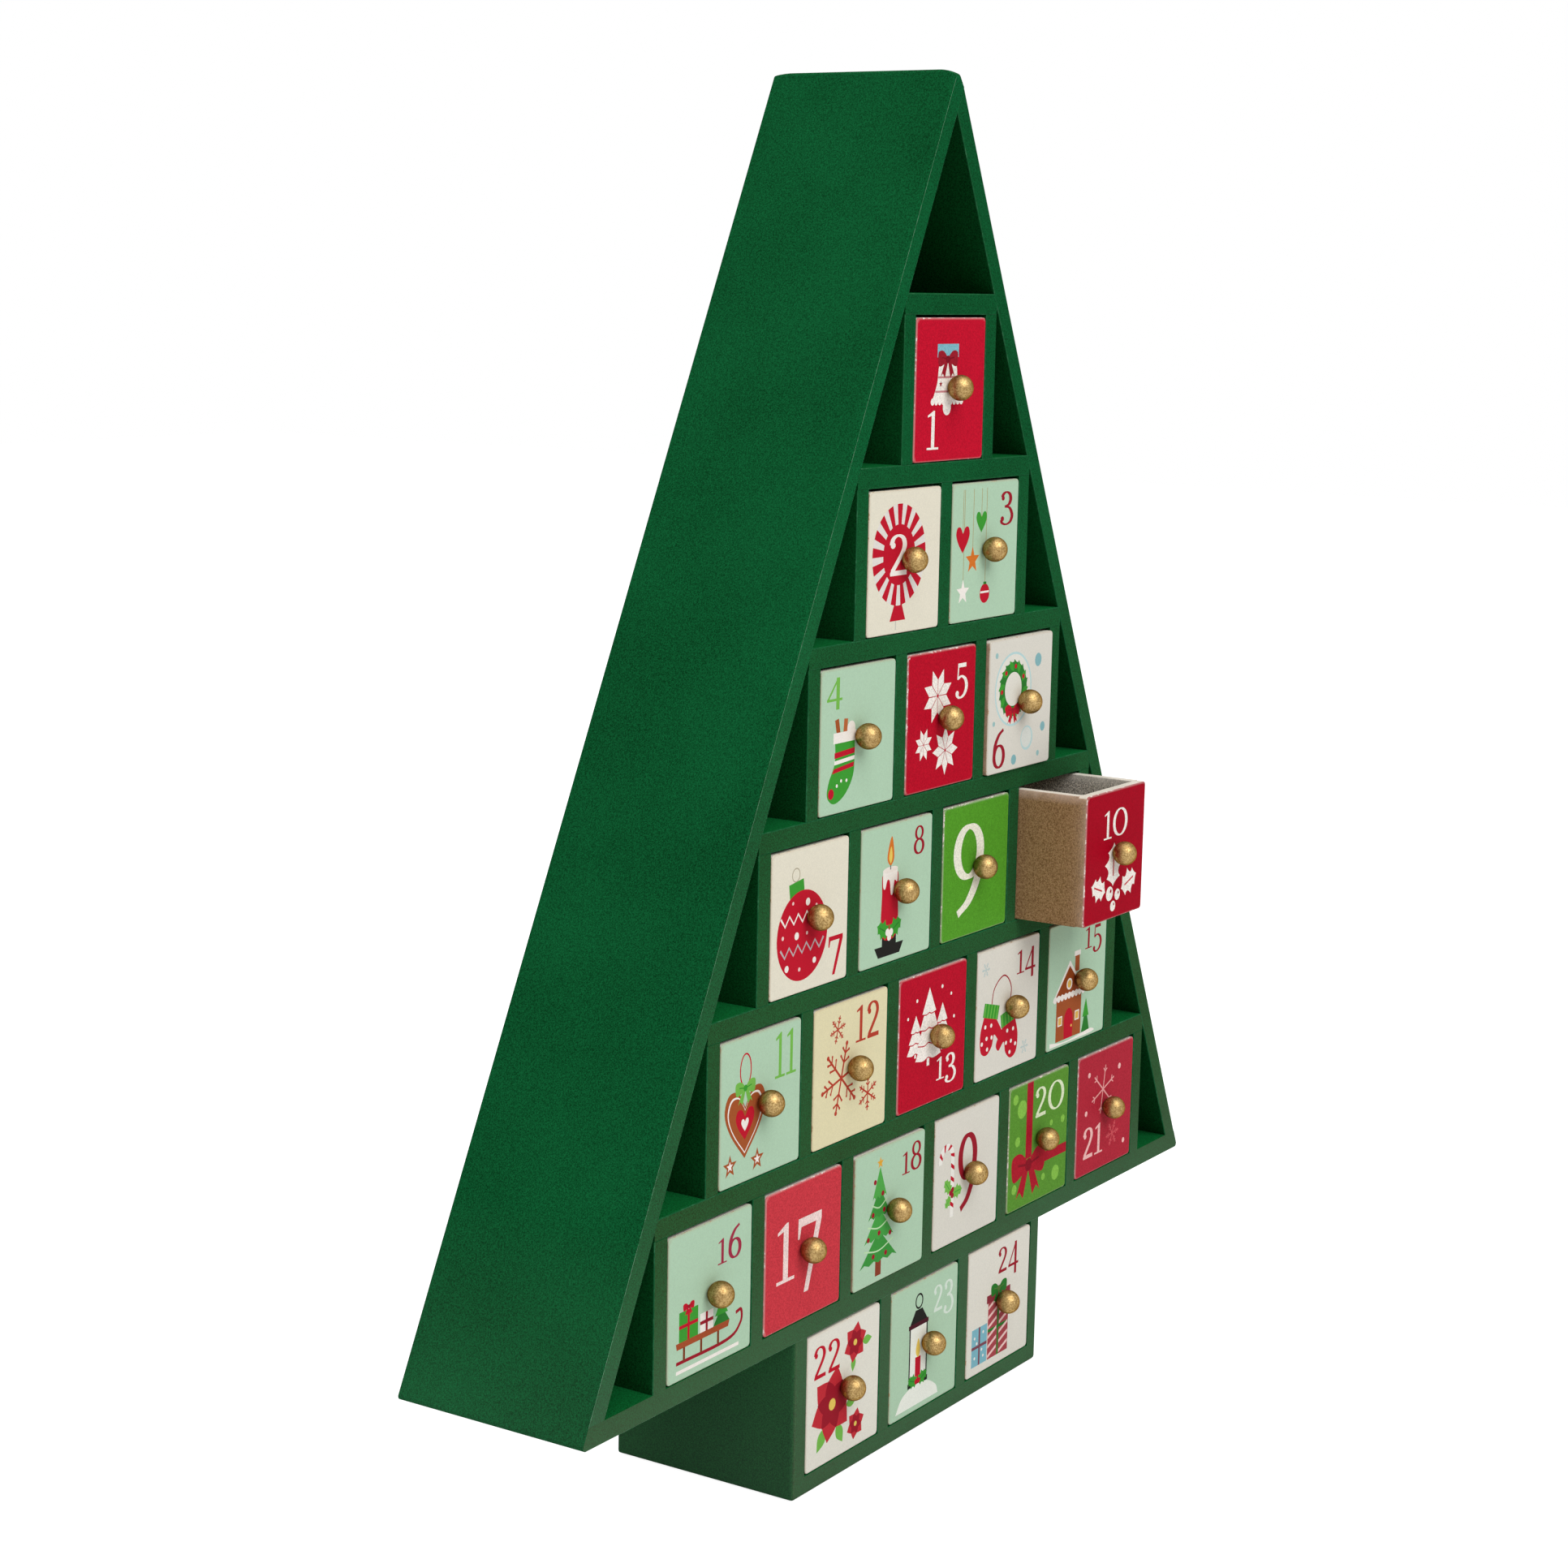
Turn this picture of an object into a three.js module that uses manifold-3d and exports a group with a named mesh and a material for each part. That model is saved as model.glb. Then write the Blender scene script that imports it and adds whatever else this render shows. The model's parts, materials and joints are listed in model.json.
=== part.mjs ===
// Advent calendar: a free-standing fir tree of painted fibreboard on a square trunk.
// Twenty-four open-topped drawers with ball knobs slide in six rows of bays and a row in the trunk.
// Millimetres. X runs across the front, -Y is the front, +Z is up.
// The origin is the middle of the trunk's underside.

import * as THREE from 'three';
import { mergeVertices } from 'three/addons/utils/BufferGeometryUtils.js';
import Module from 'manifold-3d';

// Boards of the case
const boardThickness = 6;
const sideBoardThickness = 6;
const backThickness = 3;
const caseDepth = 62;

// Bays
const bayWidth = 40;
const bayHeight = 42;
const treeRows = 6;
const trunkBays = 3;

// Joints between the boards
const fit = 0.3;
const housingDepth = 2;
const cornerBevel = 1.6;
const tipRadius = 1.5;
const baseCornerRadius = 2;
const cornerFacets = 3;

// Drawers
const drawerWall = 3;
const drawerFloor = 3;
const drawerSideGap = 0.4;
const drawerTopGap = 0.8;
const frontCornerRadius = 1.2;

// Ball knobs, each on a pin that fills a hole in its drawer front
const ballRadius = 3.75;
const ballStandOff = 3.5;
const knobHeight = 21;
const pinRadius = 1.5;
const pinLength = 2.6;
const knobSides = 16;
const ballRings = 7;

// How far a drawer stands out of its bay in the resting pose
const pulledOut = { 6: 1, 10: 23.5, 18: 0.4 };

const paints = {
  green: { color: 0x155c34, roughness: 0.75, metalness: 0 },
  darkGreen: { color: 0x0f3d28, roughness: 0.85, metalness: 0 },
  red: { color: 0xc8102e, roughness: 0.6, metalness: 0 },
  darkRed: { color: 0xa00f22, roughness: 0.6, metalness: 0 },
  cream: { color: 0xe9e2d0, roughness: 0.6, metalness: 0 },
  white: { color: 0xe6e3dc, roughness: 0.6, metalness: 0 },
  mint: { color: 0xa9ccb4, roughness: 0.6, metalness: 0 },
  lime: { color: 0x5cb52a, roughness: 0.6, metalness: 0 },
  yellow: { color: 0xe8e3b0, roughness: 0.6, metalness: 0 },
  brass: { color: 0xb08d3c, roughness: 0.35, metalness: 1 },
};

// Colour of each drawer front, from number one at the top of the tree
const frontColours = [
  'red', 'cream', 'mint', 'mint', 'red', 'white',
  'cream', 'mint', 'lime', 'red', 'mint', 'yellow',
  'red', 'white', 'mint', 'mint', 'red', 'mint',
  'white', 'lime', 'darkRed', 'white', 'mint', 'white',
];

// Each row is half a bay wider at either end than the row above it, and the sides lean to suit
const pitch = bayWidth + boardThickness;
const rowPitch = bayHeight + boardThickness;
const sideSlope = pitch / 2 / rowPitch;
const slopeLength = Math.hypot(1, sideSlope);
const sideAngle = Math.atan(sideSlope);

const frontY = -caseDepth / 2;
const backY = caseDepth / 2;
const panelFrontY = backY - backThickness;
const innerBackY = panelFrontY - fit;

const trunkFloorTop = boardThickness;
const baseUnderside = trunkFloorTop + bayHeight;
const baseTop = baseUnderside + boardThickness;
const topShelfTop = rowFloor(0);

const drawerWidth = bayWidth - 2 * drawerSideGap;
const drawerHeight = bayHeight - fit - drawerTopGap;
const drawerDepth = innerBackY - frontY;

function rowFloor(row) {
  return baseTop + (treeRows - row) * rowPitch;
}

function rowHalfWidth(bays) {
  return (bays * pitch + boardThickness) / 2;
}

// Half the width of the tree between its side boards, and over them, at a height
function innerHalfWidth(z) {
  return rowHalfWidth(1) - cornerBevel + (topShelfTop - z) * sideSlope;
}

function outerHalfWidth(z) {
  return innerHalfWidth(z) + sideBoardThickness * slopeLength;
}

function heightOfInnerHalfWidth(halfWidth) {
  return topShelfTop - (halfWidth - innerHalfWidth(topShelfTop)) / sideSlope;
}

function heightOfOuterHalfWidth(halfWidth) {
  return heightOfInnerHalfWidth(halfWidth - sideBoardThickness * slopeLength);
}

const wasm = await Module();
wasm.setup();

function toSolid(geometry) {
  geometry.deleteAttribute('normal');
  geometry.deleteAttribute('uv');
  const merged = mergeVertices(geometry);
  const vertProperties = merged.attributes.position.array;
  const triVerts = new Uint32Array(merged.index.array);
  return new wasm.Manifold(new wasm.Mesh({ numProp: 3, vertProperties, triVerts }));
}

function toGeometry(solid) {
  const { vertProperties, triVerts } = solid.getMesh();
  const geometry = new THREE.BufferGeometry();
  geometry.setAttribute('position', new THREE.BufferAttribute(vertProperties, 3));
  geometry.setIndex(new THREE.BufferAttribute(triVerts, 1));
  geometry.computeVertexNormals();
  return geometry;
}

// An outline drawn in X and Z, made a solid board from one depth to another
function board(outline, fromY, toY) {
  const geometry = new THREE.ExtrudeGeometry(outline, {
    depth: toY - fromY,
    bevelEnabled: false,
    curveSegments: cornerFacets,
  });
  geometry.rotateX(Math.PI / 2);
  geometry.translate(0, toY, 0);
  return toSolid(geometry);
}

function polygon(points) {
  return new THREE.Shape(points.map(([x, z]) => new THREE.Vector2(x, z)));
}

function rectangle(left, low, right, high) {
  return polygon([[left, low], [right, low], [right, high], [left, high]]);
}

// Centres of the uprights that part and close a row of bays
function uprightCentres(bays) {
  return Array.from({ length: bays + 1 }, (_, i) => (i - bays / 2) * pitch);
}

function bayCentres(bays) {
  return Array.from({ length: bays }, (_, i) => (i + 0.5 - bays / 2) * pitch);
}

// Uprights stand on a shelf and are housed in the shelf above
function upright(x, floor, toY) {
  const left = x - boardThickness / 2;
  const right = x + boardThickness / 2;
  const top = floor + bayHeight + housingDepth - fit;
  return board(rectangle(left, floor - housingDepth, right, top), frontY, toY);
}

// The groove in a shelf's underside that houses an upright of the row below
function groove(x, underside, toY) {
  const halfWidth = boardThickness / 2 + fit;
  const outline = rectangle(x - halfWidth, underside - fit, x + halfWidth, underside + housingDepth);
  return board(outline, frontY - fit, toY + fit);
}

// The space between the side boards, less the fit that every row keeps to them
function insideOfTree(toY) {
  const low = baseUnderside;
  const halfWidth = innerHalfWidth(low) - fit * slopeLength;
  const apex = heightOfInnerHalfWidth(fit * slopeLength);
  return board(polygon([[-halfWidth, low], [halfWidth, low], [0, apex]]), frontY - fit, toY);
}

// A shelf with the uprights of the row on it, planed at its top corners to seat on the side boards
function rowFrame(row) {
  const floor = rowFloor(row);
  const underside = floor - boardThickness;
  const halfWidth = rowHalfWidth(row + 1);
  let frame = board(rectangle(-halfWidth, underside, halfWidth, floor), frontY, innerBackY);
  for (const x of row > 0 ? uprightCentres(row) : []) {
    frame = frame.add(upright(x, floor, innerBackY));
  }
  for (const x of uprightCentres(row + 1)) {
    frame = frame.subtract(groove(x, underside, innerBackY));
  }
  return frame.intersect(insideOfTree(innerBackY));
}

// The board under the tree, with its ends planed flush with the side boards' outer faces
function baseOutline() {
  const low = outerHalfWidth(baseUnderside);
  const high = outerHalfWidth(baseTop);
  const radius = Math.min(baseCornerRadius, boardThickness / 2);
  const inX = low - radius;
  const upX = outerHalfWidth(baseUnderside + radius);
  const outline = new THREE.Shape();
  outline.moveTo(-inX, baseUnderside);
  outline.lineTo(inX, baseUnderside);
  outline.quadraticCurveTo(low, baseUnderside, upX, baseUnderside + radius);
  outline.lineTo(high, baseTop);
  outline.lineTo(-high, baseTop);
  outline.lineTo(-upX, baseUnderside + radius);
  outline.quadraticCurveTo(-low, baseUnderside, -inX, baseUnderside);
  return outline;
}

function baseBoard() {
  let frame = board(baseOutline(), frontY, backY);
  for (const x of uprightCentres(treeRows)) {
    const post = upright(x, baseTop, innerBackY);
    frame = frame.add(post.intersect(insideOfTree(innerBackY)));
  }
  for (const x of uprightCentres(trunkBays)) {
    frame = frame.subtract(groove(x, baseUnderside, backY));
  }
  return frame;
}

// The trunk's floor and uprights; the outer two run to the back and close its sides
function trunkFrame() {
  const halfWidth = rowHalfWidth(trunkBays);
  const floor = rectangle(-halfWidth, 0, halfWidth, trunkFloorTop);
  let frame = board(floor, frontY, backY);
  uprightCentres(trunkBays).forEach((x, i) => {
    const closesSide = i === 0 || i === trunkBays;
    frame = frame.add(upright(x, trunkFloorTop, closesSide ? backY : innerBackY));
  });
  return frame;
}

// The left side board runs through to the rounded tip of the tree
function leftSideOutline() {
  const low = baseTop + fit;
  const buttX = sideBoardThickness * slopeLength / 2;
  const buttHeight = heightOfInnerHalfWidth(-buttX);
  const radius = Math.min(tipRadius, sideBoardThickness / 2);
  const tipCentre = heightOfOuterHalfWidth(0) - radius / Math.sin(sideAngle);
  const outline = new THREE.Shape();
  outline.moveTo(-outerHalfWidth(low), low);
  outline.lineTo(-innerHalfWidth(low), low);
  outline.lineTo(buttX, buttHeight);
  outline.absarc(0, tipCentre, radius, sideAngle, Math.PI - sideAngle, false);
  return outline;
}

// The right side board butts against the inner face of the left one
function rightSideOutline() {
  const low = baseTop + fit;
  const gapX = fit * slopeLength / 2;
  const buttX = (sideBoardThickness + fit) * slopeLength / 2;
  return polygon([
    [innerHalfWidth(low), low],
    [outerHalfWidth(low), low],
    [buttX, heightOfOuterHalfWidth(buttX)],
    [gapX, heightOfInnerHalfWidth(gapX)],
  ]);
}

function treeBackPanel() {
  const low = baseTop + fit;
  const halfWidth = innerHalfWidth(low) - fit * slopeLength;
  const apex = heightOfInnerHalfWidth(fit * slopeLength);
  return board(polygon([[-halfWidth, low], [halfWidth, low], [0, apex]]), panelFrontY, backY);
}

function trunkBackPanel() {
  const halfWidth = rowHalfWidth(trunkBays) - boardThickness - fit;
  const outline = rectangle(-halfWidth, trunkFloorTop + fit, halfWidth, baseUnderside - fit);
  return board(outline, panelFrontY, backY);
}

function frontOutline() {
  const half = drawerWidth / 2;
  const r = Math.min(frontCornerRadius, drawerWidth / 4);
  const outline = new THREE.Shape();
  outline.moveTo(-half + r, 0);
  outline.lineTo(half - r, 0);
  outline.absarc(half - r, r, r, -Math.PI / 2, 0, false);
  outline.absarc(half - r, drawerHeight - r, r, 0, Math.PI / 2, false);
  outline.absarc(-half + r, drawerHeight - r, r, Math.PI / 2, Math.PI, false);
  outline.absarc(-half + r, r, r, Math.PI, Math.PI * 1.5, false);
  return outline;
}

// A round bar along Y, from one depth to another
function roundBar(radius, fromY, toY, z) {
  const geometry = new THREE.CylinderGeometry(radius, radius, toY - fromY, knobSides);
  geometry.translate(0, (fromY + toY) / 2, z);
  return toSolid(geometry);
}

// An open-topped box behind a front board that covers the ends of its sides.
// Its own origin is the foot of its front face, in the middle.
function drawerBox() {
  const half = drawerWidth / 2;
  const inner = half - drawerWall;
  const front = board(frontOutline(), 0, drawerWall + fit);
  const body = board(rectangle(-half, 0, half, drawerHeight), drawerWall, drawerDepth);
  const cavityTop = drawerHeight + drawerFloor;
  const cavity = board(
    rectangle(-inner, drawerFloor, inner, cavityTop), drawerWall, drawerDepth - drawerWall);
  const hole = roundBar(pinRadius + fit, -fit, drawerWall + fit, knobHeight);
  return front.add(body).subtract(cavity).subtract(hole);
}

// A turned ball, flattened where it meets the drawer front, with a pin behind it.
// The profile runs along the knob's axis, Y, from the front of the ball to the end of the pin.
function knobGeometry() {
  const seatAngle = Math.acos(-(ballStandOff - fit) / ballRadius);
  const profile = [];
  for (let i = 0; i <= ballRings; i += 1) {
    const angle = seatAngle * i / ballRings;
    const y = -ballStandOff - ballRadius * Math.cos(angle);
    profile.push(new THREE.Vector2(ballRadius * Math.sin(angle), y));
  }
  profile.push(new THREE.Vector2(pinRadius, -fit));
  profile.push(new THREE.Vector2(pinRadius, pinLength));
  profile.push(new THREE.Vector2(0, pinLength));
  const geometry = new THREE.LatheGeometry(profile, knobSides);
  return toGeometry(toSolid(geometry));
}

const group = new THREE.Group();

function addMesh(parent, name, geometry, paint) {
  const mesh = new THREE.Mesh(geometry, new THREE.MeshStandardMaterial(paints[paint]));
  mesh.name = name;
  parent.add(mesh);
  return mesh;
}

function addCase() {
  const boards = {
    left_side_board: board(leftSideOutline(), frontY, backY),
    right_side_board: board(rightSideOutline(), frontY, backY),
    top_shelf: rowFrame(0),
    base_board: baseBoard(),
    trunk_frame: trunkFrame(),
  };
  for (let row = 1; row < treeRows; row += 1) {
    boards[`row_${row}_frame`] = rowFrame(row);
  }
  for (const [name, solid] of Object.entries(boards)) {
    addMesh(group, name, toGeometry(solid), 'green');
  }
  addMesh(group, 'tree_back_panel', toGeometry(treeBackPanel()), 'darkGreen');
  addMesh(group, 'trunk_back_panel', toGeometry(trunkBackPanel()), 'darkGreen');
}

// Every bay in the order of the drawers' numbers, row by row from the top, then the trunk
function allBays() {
  const bays = [];
  for (let row = 1; row <= treeRows; row += 1) {
    for (const x of bayCentres(row)) {
      bays.push({ x, floor: rowFloor(row) });
    }
  }
  for (const x of bayCentres(trunkBays)) {
    bays.push({ x, floor: trunkFloorTop });
  }
  return bays;
}

function addDrawers() {
  const box = toGeometry(drawerBox());
  const knob = knobGeometry();
  allBays().forEach(({ x, floor }, index) => {
    const number = index + 1;
    const label = String(number).padStart(2, '0');
    const drawer = new THREE.Group();
    drawer.position.set(x, frontY - (pulledOut[number] ?? 0), floor + fit);
    addMesh(drawer, `drawer_${label}`, box, frontColours[index % frontColours.length]);
    addMesh(drawer, `knob_${label}`, knob, 'brass').position.z = knobHeight;
    group.add(drawer);
  });
}

addCase();
addDrawers();

export default group;
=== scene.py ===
"""The looks of a tree-shaped advent calendar: painted boards, ball knobs and twenty-four printed drawers.

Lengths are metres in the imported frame: X runs across the front, -Y is the front and +Z is up.
Prints are drawn in millimetres from the middle of a drawer front, U to the right and V up.
"""

import json
import math
from functools import partial

import bpy
import numpy as np
from mathutils import Matrix, Vector
from mathutils.geometry import delaunay_2d_cdt


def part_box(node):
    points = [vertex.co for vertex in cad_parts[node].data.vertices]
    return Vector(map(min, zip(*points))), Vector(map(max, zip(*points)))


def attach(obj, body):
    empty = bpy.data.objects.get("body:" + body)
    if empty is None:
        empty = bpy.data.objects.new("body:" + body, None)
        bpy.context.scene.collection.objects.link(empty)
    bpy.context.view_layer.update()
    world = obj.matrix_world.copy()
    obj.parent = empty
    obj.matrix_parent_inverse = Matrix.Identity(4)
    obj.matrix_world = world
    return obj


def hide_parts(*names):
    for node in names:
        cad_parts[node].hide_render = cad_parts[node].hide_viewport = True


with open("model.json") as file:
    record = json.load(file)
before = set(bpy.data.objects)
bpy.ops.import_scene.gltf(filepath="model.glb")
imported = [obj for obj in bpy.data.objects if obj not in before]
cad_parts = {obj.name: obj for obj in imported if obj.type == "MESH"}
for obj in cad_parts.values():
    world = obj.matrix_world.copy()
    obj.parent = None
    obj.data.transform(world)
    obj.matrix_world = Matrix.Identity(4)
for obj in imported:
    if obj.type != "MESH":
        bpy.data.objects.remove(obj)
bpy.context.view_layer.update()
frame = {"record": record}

MM = 0.001

# Sizes and places taken from the frame
TOP_SHELF_LOW, TOP_SHELF_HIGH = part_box("top_shelf")
BOARD = TOP_SHELF_HIGH.z - TOP_SHELF_LOW.z
FRONT = TOP_SHELF_LOW.y
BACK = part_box("left_side_board")[1].y
PANEL_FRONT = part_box("tree_back_panel")[0].y
TREE_ROWS = 6
TRUNK_BAYS = 3
DRAWERS = 24
PITCH = (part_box("drawer_03")[0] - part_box("drawer_02")[0]).x
ROW_PITCH = (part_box("row_1_frame")[0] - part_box("row_2_frame")[0]).z
SLOPE = PITCH / 2 / ROW_PITCH
SIDE_ANGLE = math.atan(SLOPE)
SIDE_RUN = 2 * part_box("left_side_board")[1].x
SIDE_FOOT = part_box("right_side_board")[0].z
SIDE_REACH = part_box("right_side_board")[1].x
BASE_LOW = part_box("base_board")[0].z
BASE_TOP = BASE_LOW + BOARD
TRUNK_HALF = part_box("trunk_frame")[1].x

# Rounded edges, as a sanding block leaves them
SIDE_ARRIS = 0.7 * MM
SHELF_ARRIS = 0.25 * MM
BOX_ARRIS = 0.2 * MM
FRONT_ARRIS = 0.28 * MM
TIP_RADIUS = 1.5 * MM
TIP_STEPS = 10
TIP_SANDED_LENGTH = 6.3 * MM
TIP_SANDED_DROP = 1.7 * MM
TIP_CORNER_LENGTH = 0.8 * MM
TIP_CORNER_DROP = 0.9 * MM
BASE_END_RADIUS = 1.1 * MM
TRUNK_RADIUS = 1.4 * MM
ARRIS_STEPS = 2

# Drawers
FRONT_THICKNESS = 3 * MM
BOX_WALL = 3 * MM
CORNER_RADIUS = 1.2 * MM
CORNER_STEPS = 6
RIM_STEPS = 3
KNOB_RINGS = 22
KNOB_SIDES = 36

# Head start that the distance from the rim gets on the right and below, in millimetres, against chips
SPARED_RIGHT = 0.3
SPARED_BELOW = 0.2

# The camera, fitted to the photograph over the corners of the fronts, the case and the knobs
IMAGE_SIDE = 1932
SENSOR_WIDTH = 36
LENS_PIXELS = 3669
CAMERA_AZIMUTH = math.radians(-56.711)
CAMERA_ELEVATION = math.radians(9.640)
CAMERA_ROLL = math.radians(1.066)
CAMERA_DISTANCE = 864.72 * MM
CAMERA_TARGET = Vector((-36.21, 0, 200.69)) * MM

# Light: square softboxes as name, azimuth and elevation in degrees, distance and size in metres, and watts
SOFTBOXES = [
    ("key", -20, 46, 3.6, 2.9, 99),
    ("fill", -112, 46, 2.0, 1.4, 6.5),
    ("top", 180, 84, 2.0, 1.5, 9),
    ("back", 155, 28, 2.6, 1.6, 20),
]
AIM = (0, 0, 0.2)
WORLD_LEVEL = 0.255
FLOOR_HALF = 4.0
FLOOR_GAP = 0.2 * MM
FLOOR_GLOW = 0.92
FLOOR_SHADING = 0.35


def outer_half(z):
    return SIDE_REACH + (SIDE_FOOT - z) * SLOPE


def inner_half(z):
    return outer_half(z) - SIDE_RUN


def height_at(half_width, reach):
    """Height at which a side line that stands reach out at the foot comes in to half_width."""
    return SIDE_FOOT + (reach - half_width) / SLOPE


def direction(azimuth, elevation):
    """Unit vector towards a place seen at an azimuth from the front and an elevation, in radians."""
    level = math.cos(elevation)
    return Vector((math.sin(azimuth) * level, -math.cos(azimuth) * level, math.sin(elevation)))


def linear(code):
    """A hex colour as linear RGBA: each channel c is c/12.92, or ((c + 0.055)/1.055)^2.4 above 0.04045."""
    channels = np.array([int(code[i:i + 2], 16) / 255 for i in (0, 2, 4)])
    bright = ((channels + 0.055) / 1.055) ** 2.4
    return (*np.where(channels > 0.04045, bright, channels / 12.92).tolist(), 1.0)


# Materials

# How coarse each finish is. The real stipple is 0.2 mm, and the real fibres, paper and flake are finer
# still, so those four are drawn coarser, to show in the render.
STIPPLE = 0.36 * MM
FIBRES = 0.4 * MM
PAPER_GRAIN = 0.4 * MM
FLAKE = 0.45 * MM
PAINT_CLOUDS = 45 * MM
RUBBED_PATCHES = 2.5 * MM
CHIPS = 2.2 * MM
USED_AREAS = 24 * MM
SPRAY_PATCHES = 3 * MM
GLAZE_PATCHES = 2.5 * MM

# Painted sheen on the green paint, a paler veil of light towards the foot: from a height, down to a height,
# and the share of the paler colour reached there
SHEEN_ON_LOWER_FRONTS = (0.3, 0.08, 0.11)
SHEEN_ON_FRONTS_AT_FOOT = (0.085, 0.045, 0.13)
SHEEN_AT_FOOT = (0.1, 0.0, 0.08)


def feed(node, inputs):
    """Sets a node's inputs, or links them. A node given as a value stands for its first output in use.

    inputs is a list for the sockets in use, in their order, or a dict by name.
    """
    in_use = [socket for socket in node.inputs if socket.enabled]
    pairs = inputs.items() if isinstance(inputs, dict) else zip(in_use, inputs)
    for socket, value in pairs:
        if isinstance(socket, str):
            socket = node.inputs[socket]
        if isinstance(value, bpy.types.Node):
            value = next(output for output in value.outputs if output.enabled)
        if isinstance(value, bpy.types.NodeSocket):
            node.id_data.links.new(value, socket)
        else:
            socket.default_value = value


def add_node(tree, kind, inputs=(), **settings):
    node = tree.nodes.new("ShaderNode" + kind)
    for key, value in settings.items():
        setattr(node, key, value)
    feed(node, inputs)
    return node


def new_finish(name, roughness, metallic=0.0, specular=0.5):
    """A material with a Principled shader. Returns both, its Object coordinates and its own add_node."""
    material = bpy.data.materials.new(name)
    material.use_nodes = True
    shader = material.node_tree.nodes["Principled BSDF"]
    feed(shader, {"Roughness": roughness, "Metallic": metallic, "Specular IOR Level": specular})
    add = partial(add_node, material.node_tree)
    return material, shader, add("TexCoord").outputs["Object"], add


def sprayed_paint(name, dark, light, roughness, lower_sheen_tint=None, foot_sheen_tint=None):
    """Matt acrylic sprayed on fibreboard. Dry spray leaves a fine stipple of two near tones and little gloss.

    Where a tint for the lower half is given, faces that look forward turn to it by up to a ninth on the lower
    half.
    The lowest part also turns to the second tint: by up to an eighth on faces that look forward and up to a
    twelfth on all the others. Both are painted sheen, a warm paler veil of light towards the foot.
    """
    material, shader, place, add = new_finish(name, roughness, specular=0.02)
    stipple = add("TexNoise", {"Vector": place, "Scale": 1 / STIPPLE, "Detail": 1.0, "Distortion": 1.0})
    clouds = add("TexNoise", {"Vector": place, "Scale": 1 / PAINT_CLOUDS})
    fine = add("MapRange", [stipple, 0.38, 0.62, 0.0, 0.8])
    broad = add("MapRange", [clouds, 0.35, 0.65, 0.0, 0.2])
    amount = add("Math", [fine, broad], operation="ADD")
    colour = add("Mix", [amount, linear(dark), linear(light)], data_type="RGBA")
    if lower_sheen_tint:
        height = add("SeparateXYZ", [place]).outputs["Z"]
        normal = add("NewGeometry").outputs["Normal"]
        facing = add("SeparateXYZ", [normal]).outputs["Y"]
        forward = add("MapRange", [facing, -0.5, -0.9])
        low, edge, foot = (add("MapRange", [height, start, end, 0.0, share])
                           for start, end, share in (SHEEN_ON_LOWER_FRONTS, SHEEN_ON_FRONTS_AT_FOOT, SHEEN_AT_FOOT))
        lower_sheen = add("Math", [low, forward], operation="MULTIPLY")
        colour = add("Mix", [lower_sheen, colour, linear(lower_sheen_tint)], data_type="RGBA")
        edges = add("Math", [edge, forward], operation="MULTIPLY")
        foot_sheen = add("Math", [edges, foot], operation="MAXIMUM")
        colour = add("Mix", [foot_sheen, colour, linear(foot_sheen_tint)], data_type="RGBA")
    bump = add("Bump", {"Height": stipple, "Distance": 0.04 * MM, "Strength": 0.4})
    feed(shader, {"Base Color": colour, "Normal": bump})
    return material


def rubbed_edge(name, paint, bare, share):
    """The same paint rubbed thin along an edge by handling. A paler line breaks through it in patches."""
    material, shader, place, add = new_finish(name, 0.7, specular=0.02)
    patches = add("TexNoise", {"Vector": place, "Scale": 1 / RUBBED_PATCHES, "Detail": 5.0, "Roughness": 0.8})
    amount = add("MapRange", [patches, 0.7 - share, 0.9 - share])
    colour = add("Mix", [amount, linear(paint), linear(bare)], data_type="RGBA")
    feed(shader, {"Base Color": colour})
    return material


def printed_front(name, bare, wear, rubbed, grain_depth):
    """Offset-printed paper glued on fibreboard. Flat inks with a faint grain, chipped at the rim.

    Ink comes from the Print attribute, and the Rim map's first value is the distance from the rim in
    millimetres. The bare colour shows through by a share called rubbed at the rim itself, and where a chip
    reaches further in than the distance. Chips reach up to wear millimetres, and less on little-used drawers.
    """
    material, shader, place, add = new_finish(name, 0.6, specular=0.02)
    ink = add("VertexColor", layer_name="Print")
    grain = add("TexNoise", {"Vector": place, "Scale": 1 / PAPER_GRAIN, "Detail": 1.0, "Distortion": 1.0})
    tone = add("MapRange", [grain, 0.38, 0.62, 1.0 - grain_depth, 1.0 + grain_depth])
    toned = add("VectorMath", {"Vector": ink, "Scale": tone}, operation="SCALE")
    rim = add("UVMap", uv_map="Rim")
    distance = add("SeparateXYZ", [rim])
    patches = add("TexNoise", {"Vector": place, "Scale": 1 / CHIPS, "Detail": 5.0, "Roughness": 0.7})
    handling = add("TexNoise", {"Vector": place, "Scale": 1 / USED_AREAS})
    used = add("MapRange", [handling, 0.35, 0.6, 0.25 * wear, wear])
    reach = add("MapRange", [patches, 0.42, 0.75, -0.1, used])
    over = add("Math", [reach, distance], operation="SUBTRACT")
    chipped = add("MapRange", [over, 0.0, 0.2])
    thinned = add("MapRange", [distance, 0.7, 0.1, 0.0, rubbed])
    share = add("Math", [chipped, thinned], operation="MAXIMUM")
    colour = add("Mix", [share, toned, linear(bare)], data_type="RGBA")
    bump = add("Bump", {"Height": grain, "Distance": 0.02 * MM, "Strength": 0.3})
    feed(shader, {"Base Color": colour, "Normal": bump})
    return material


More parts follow.
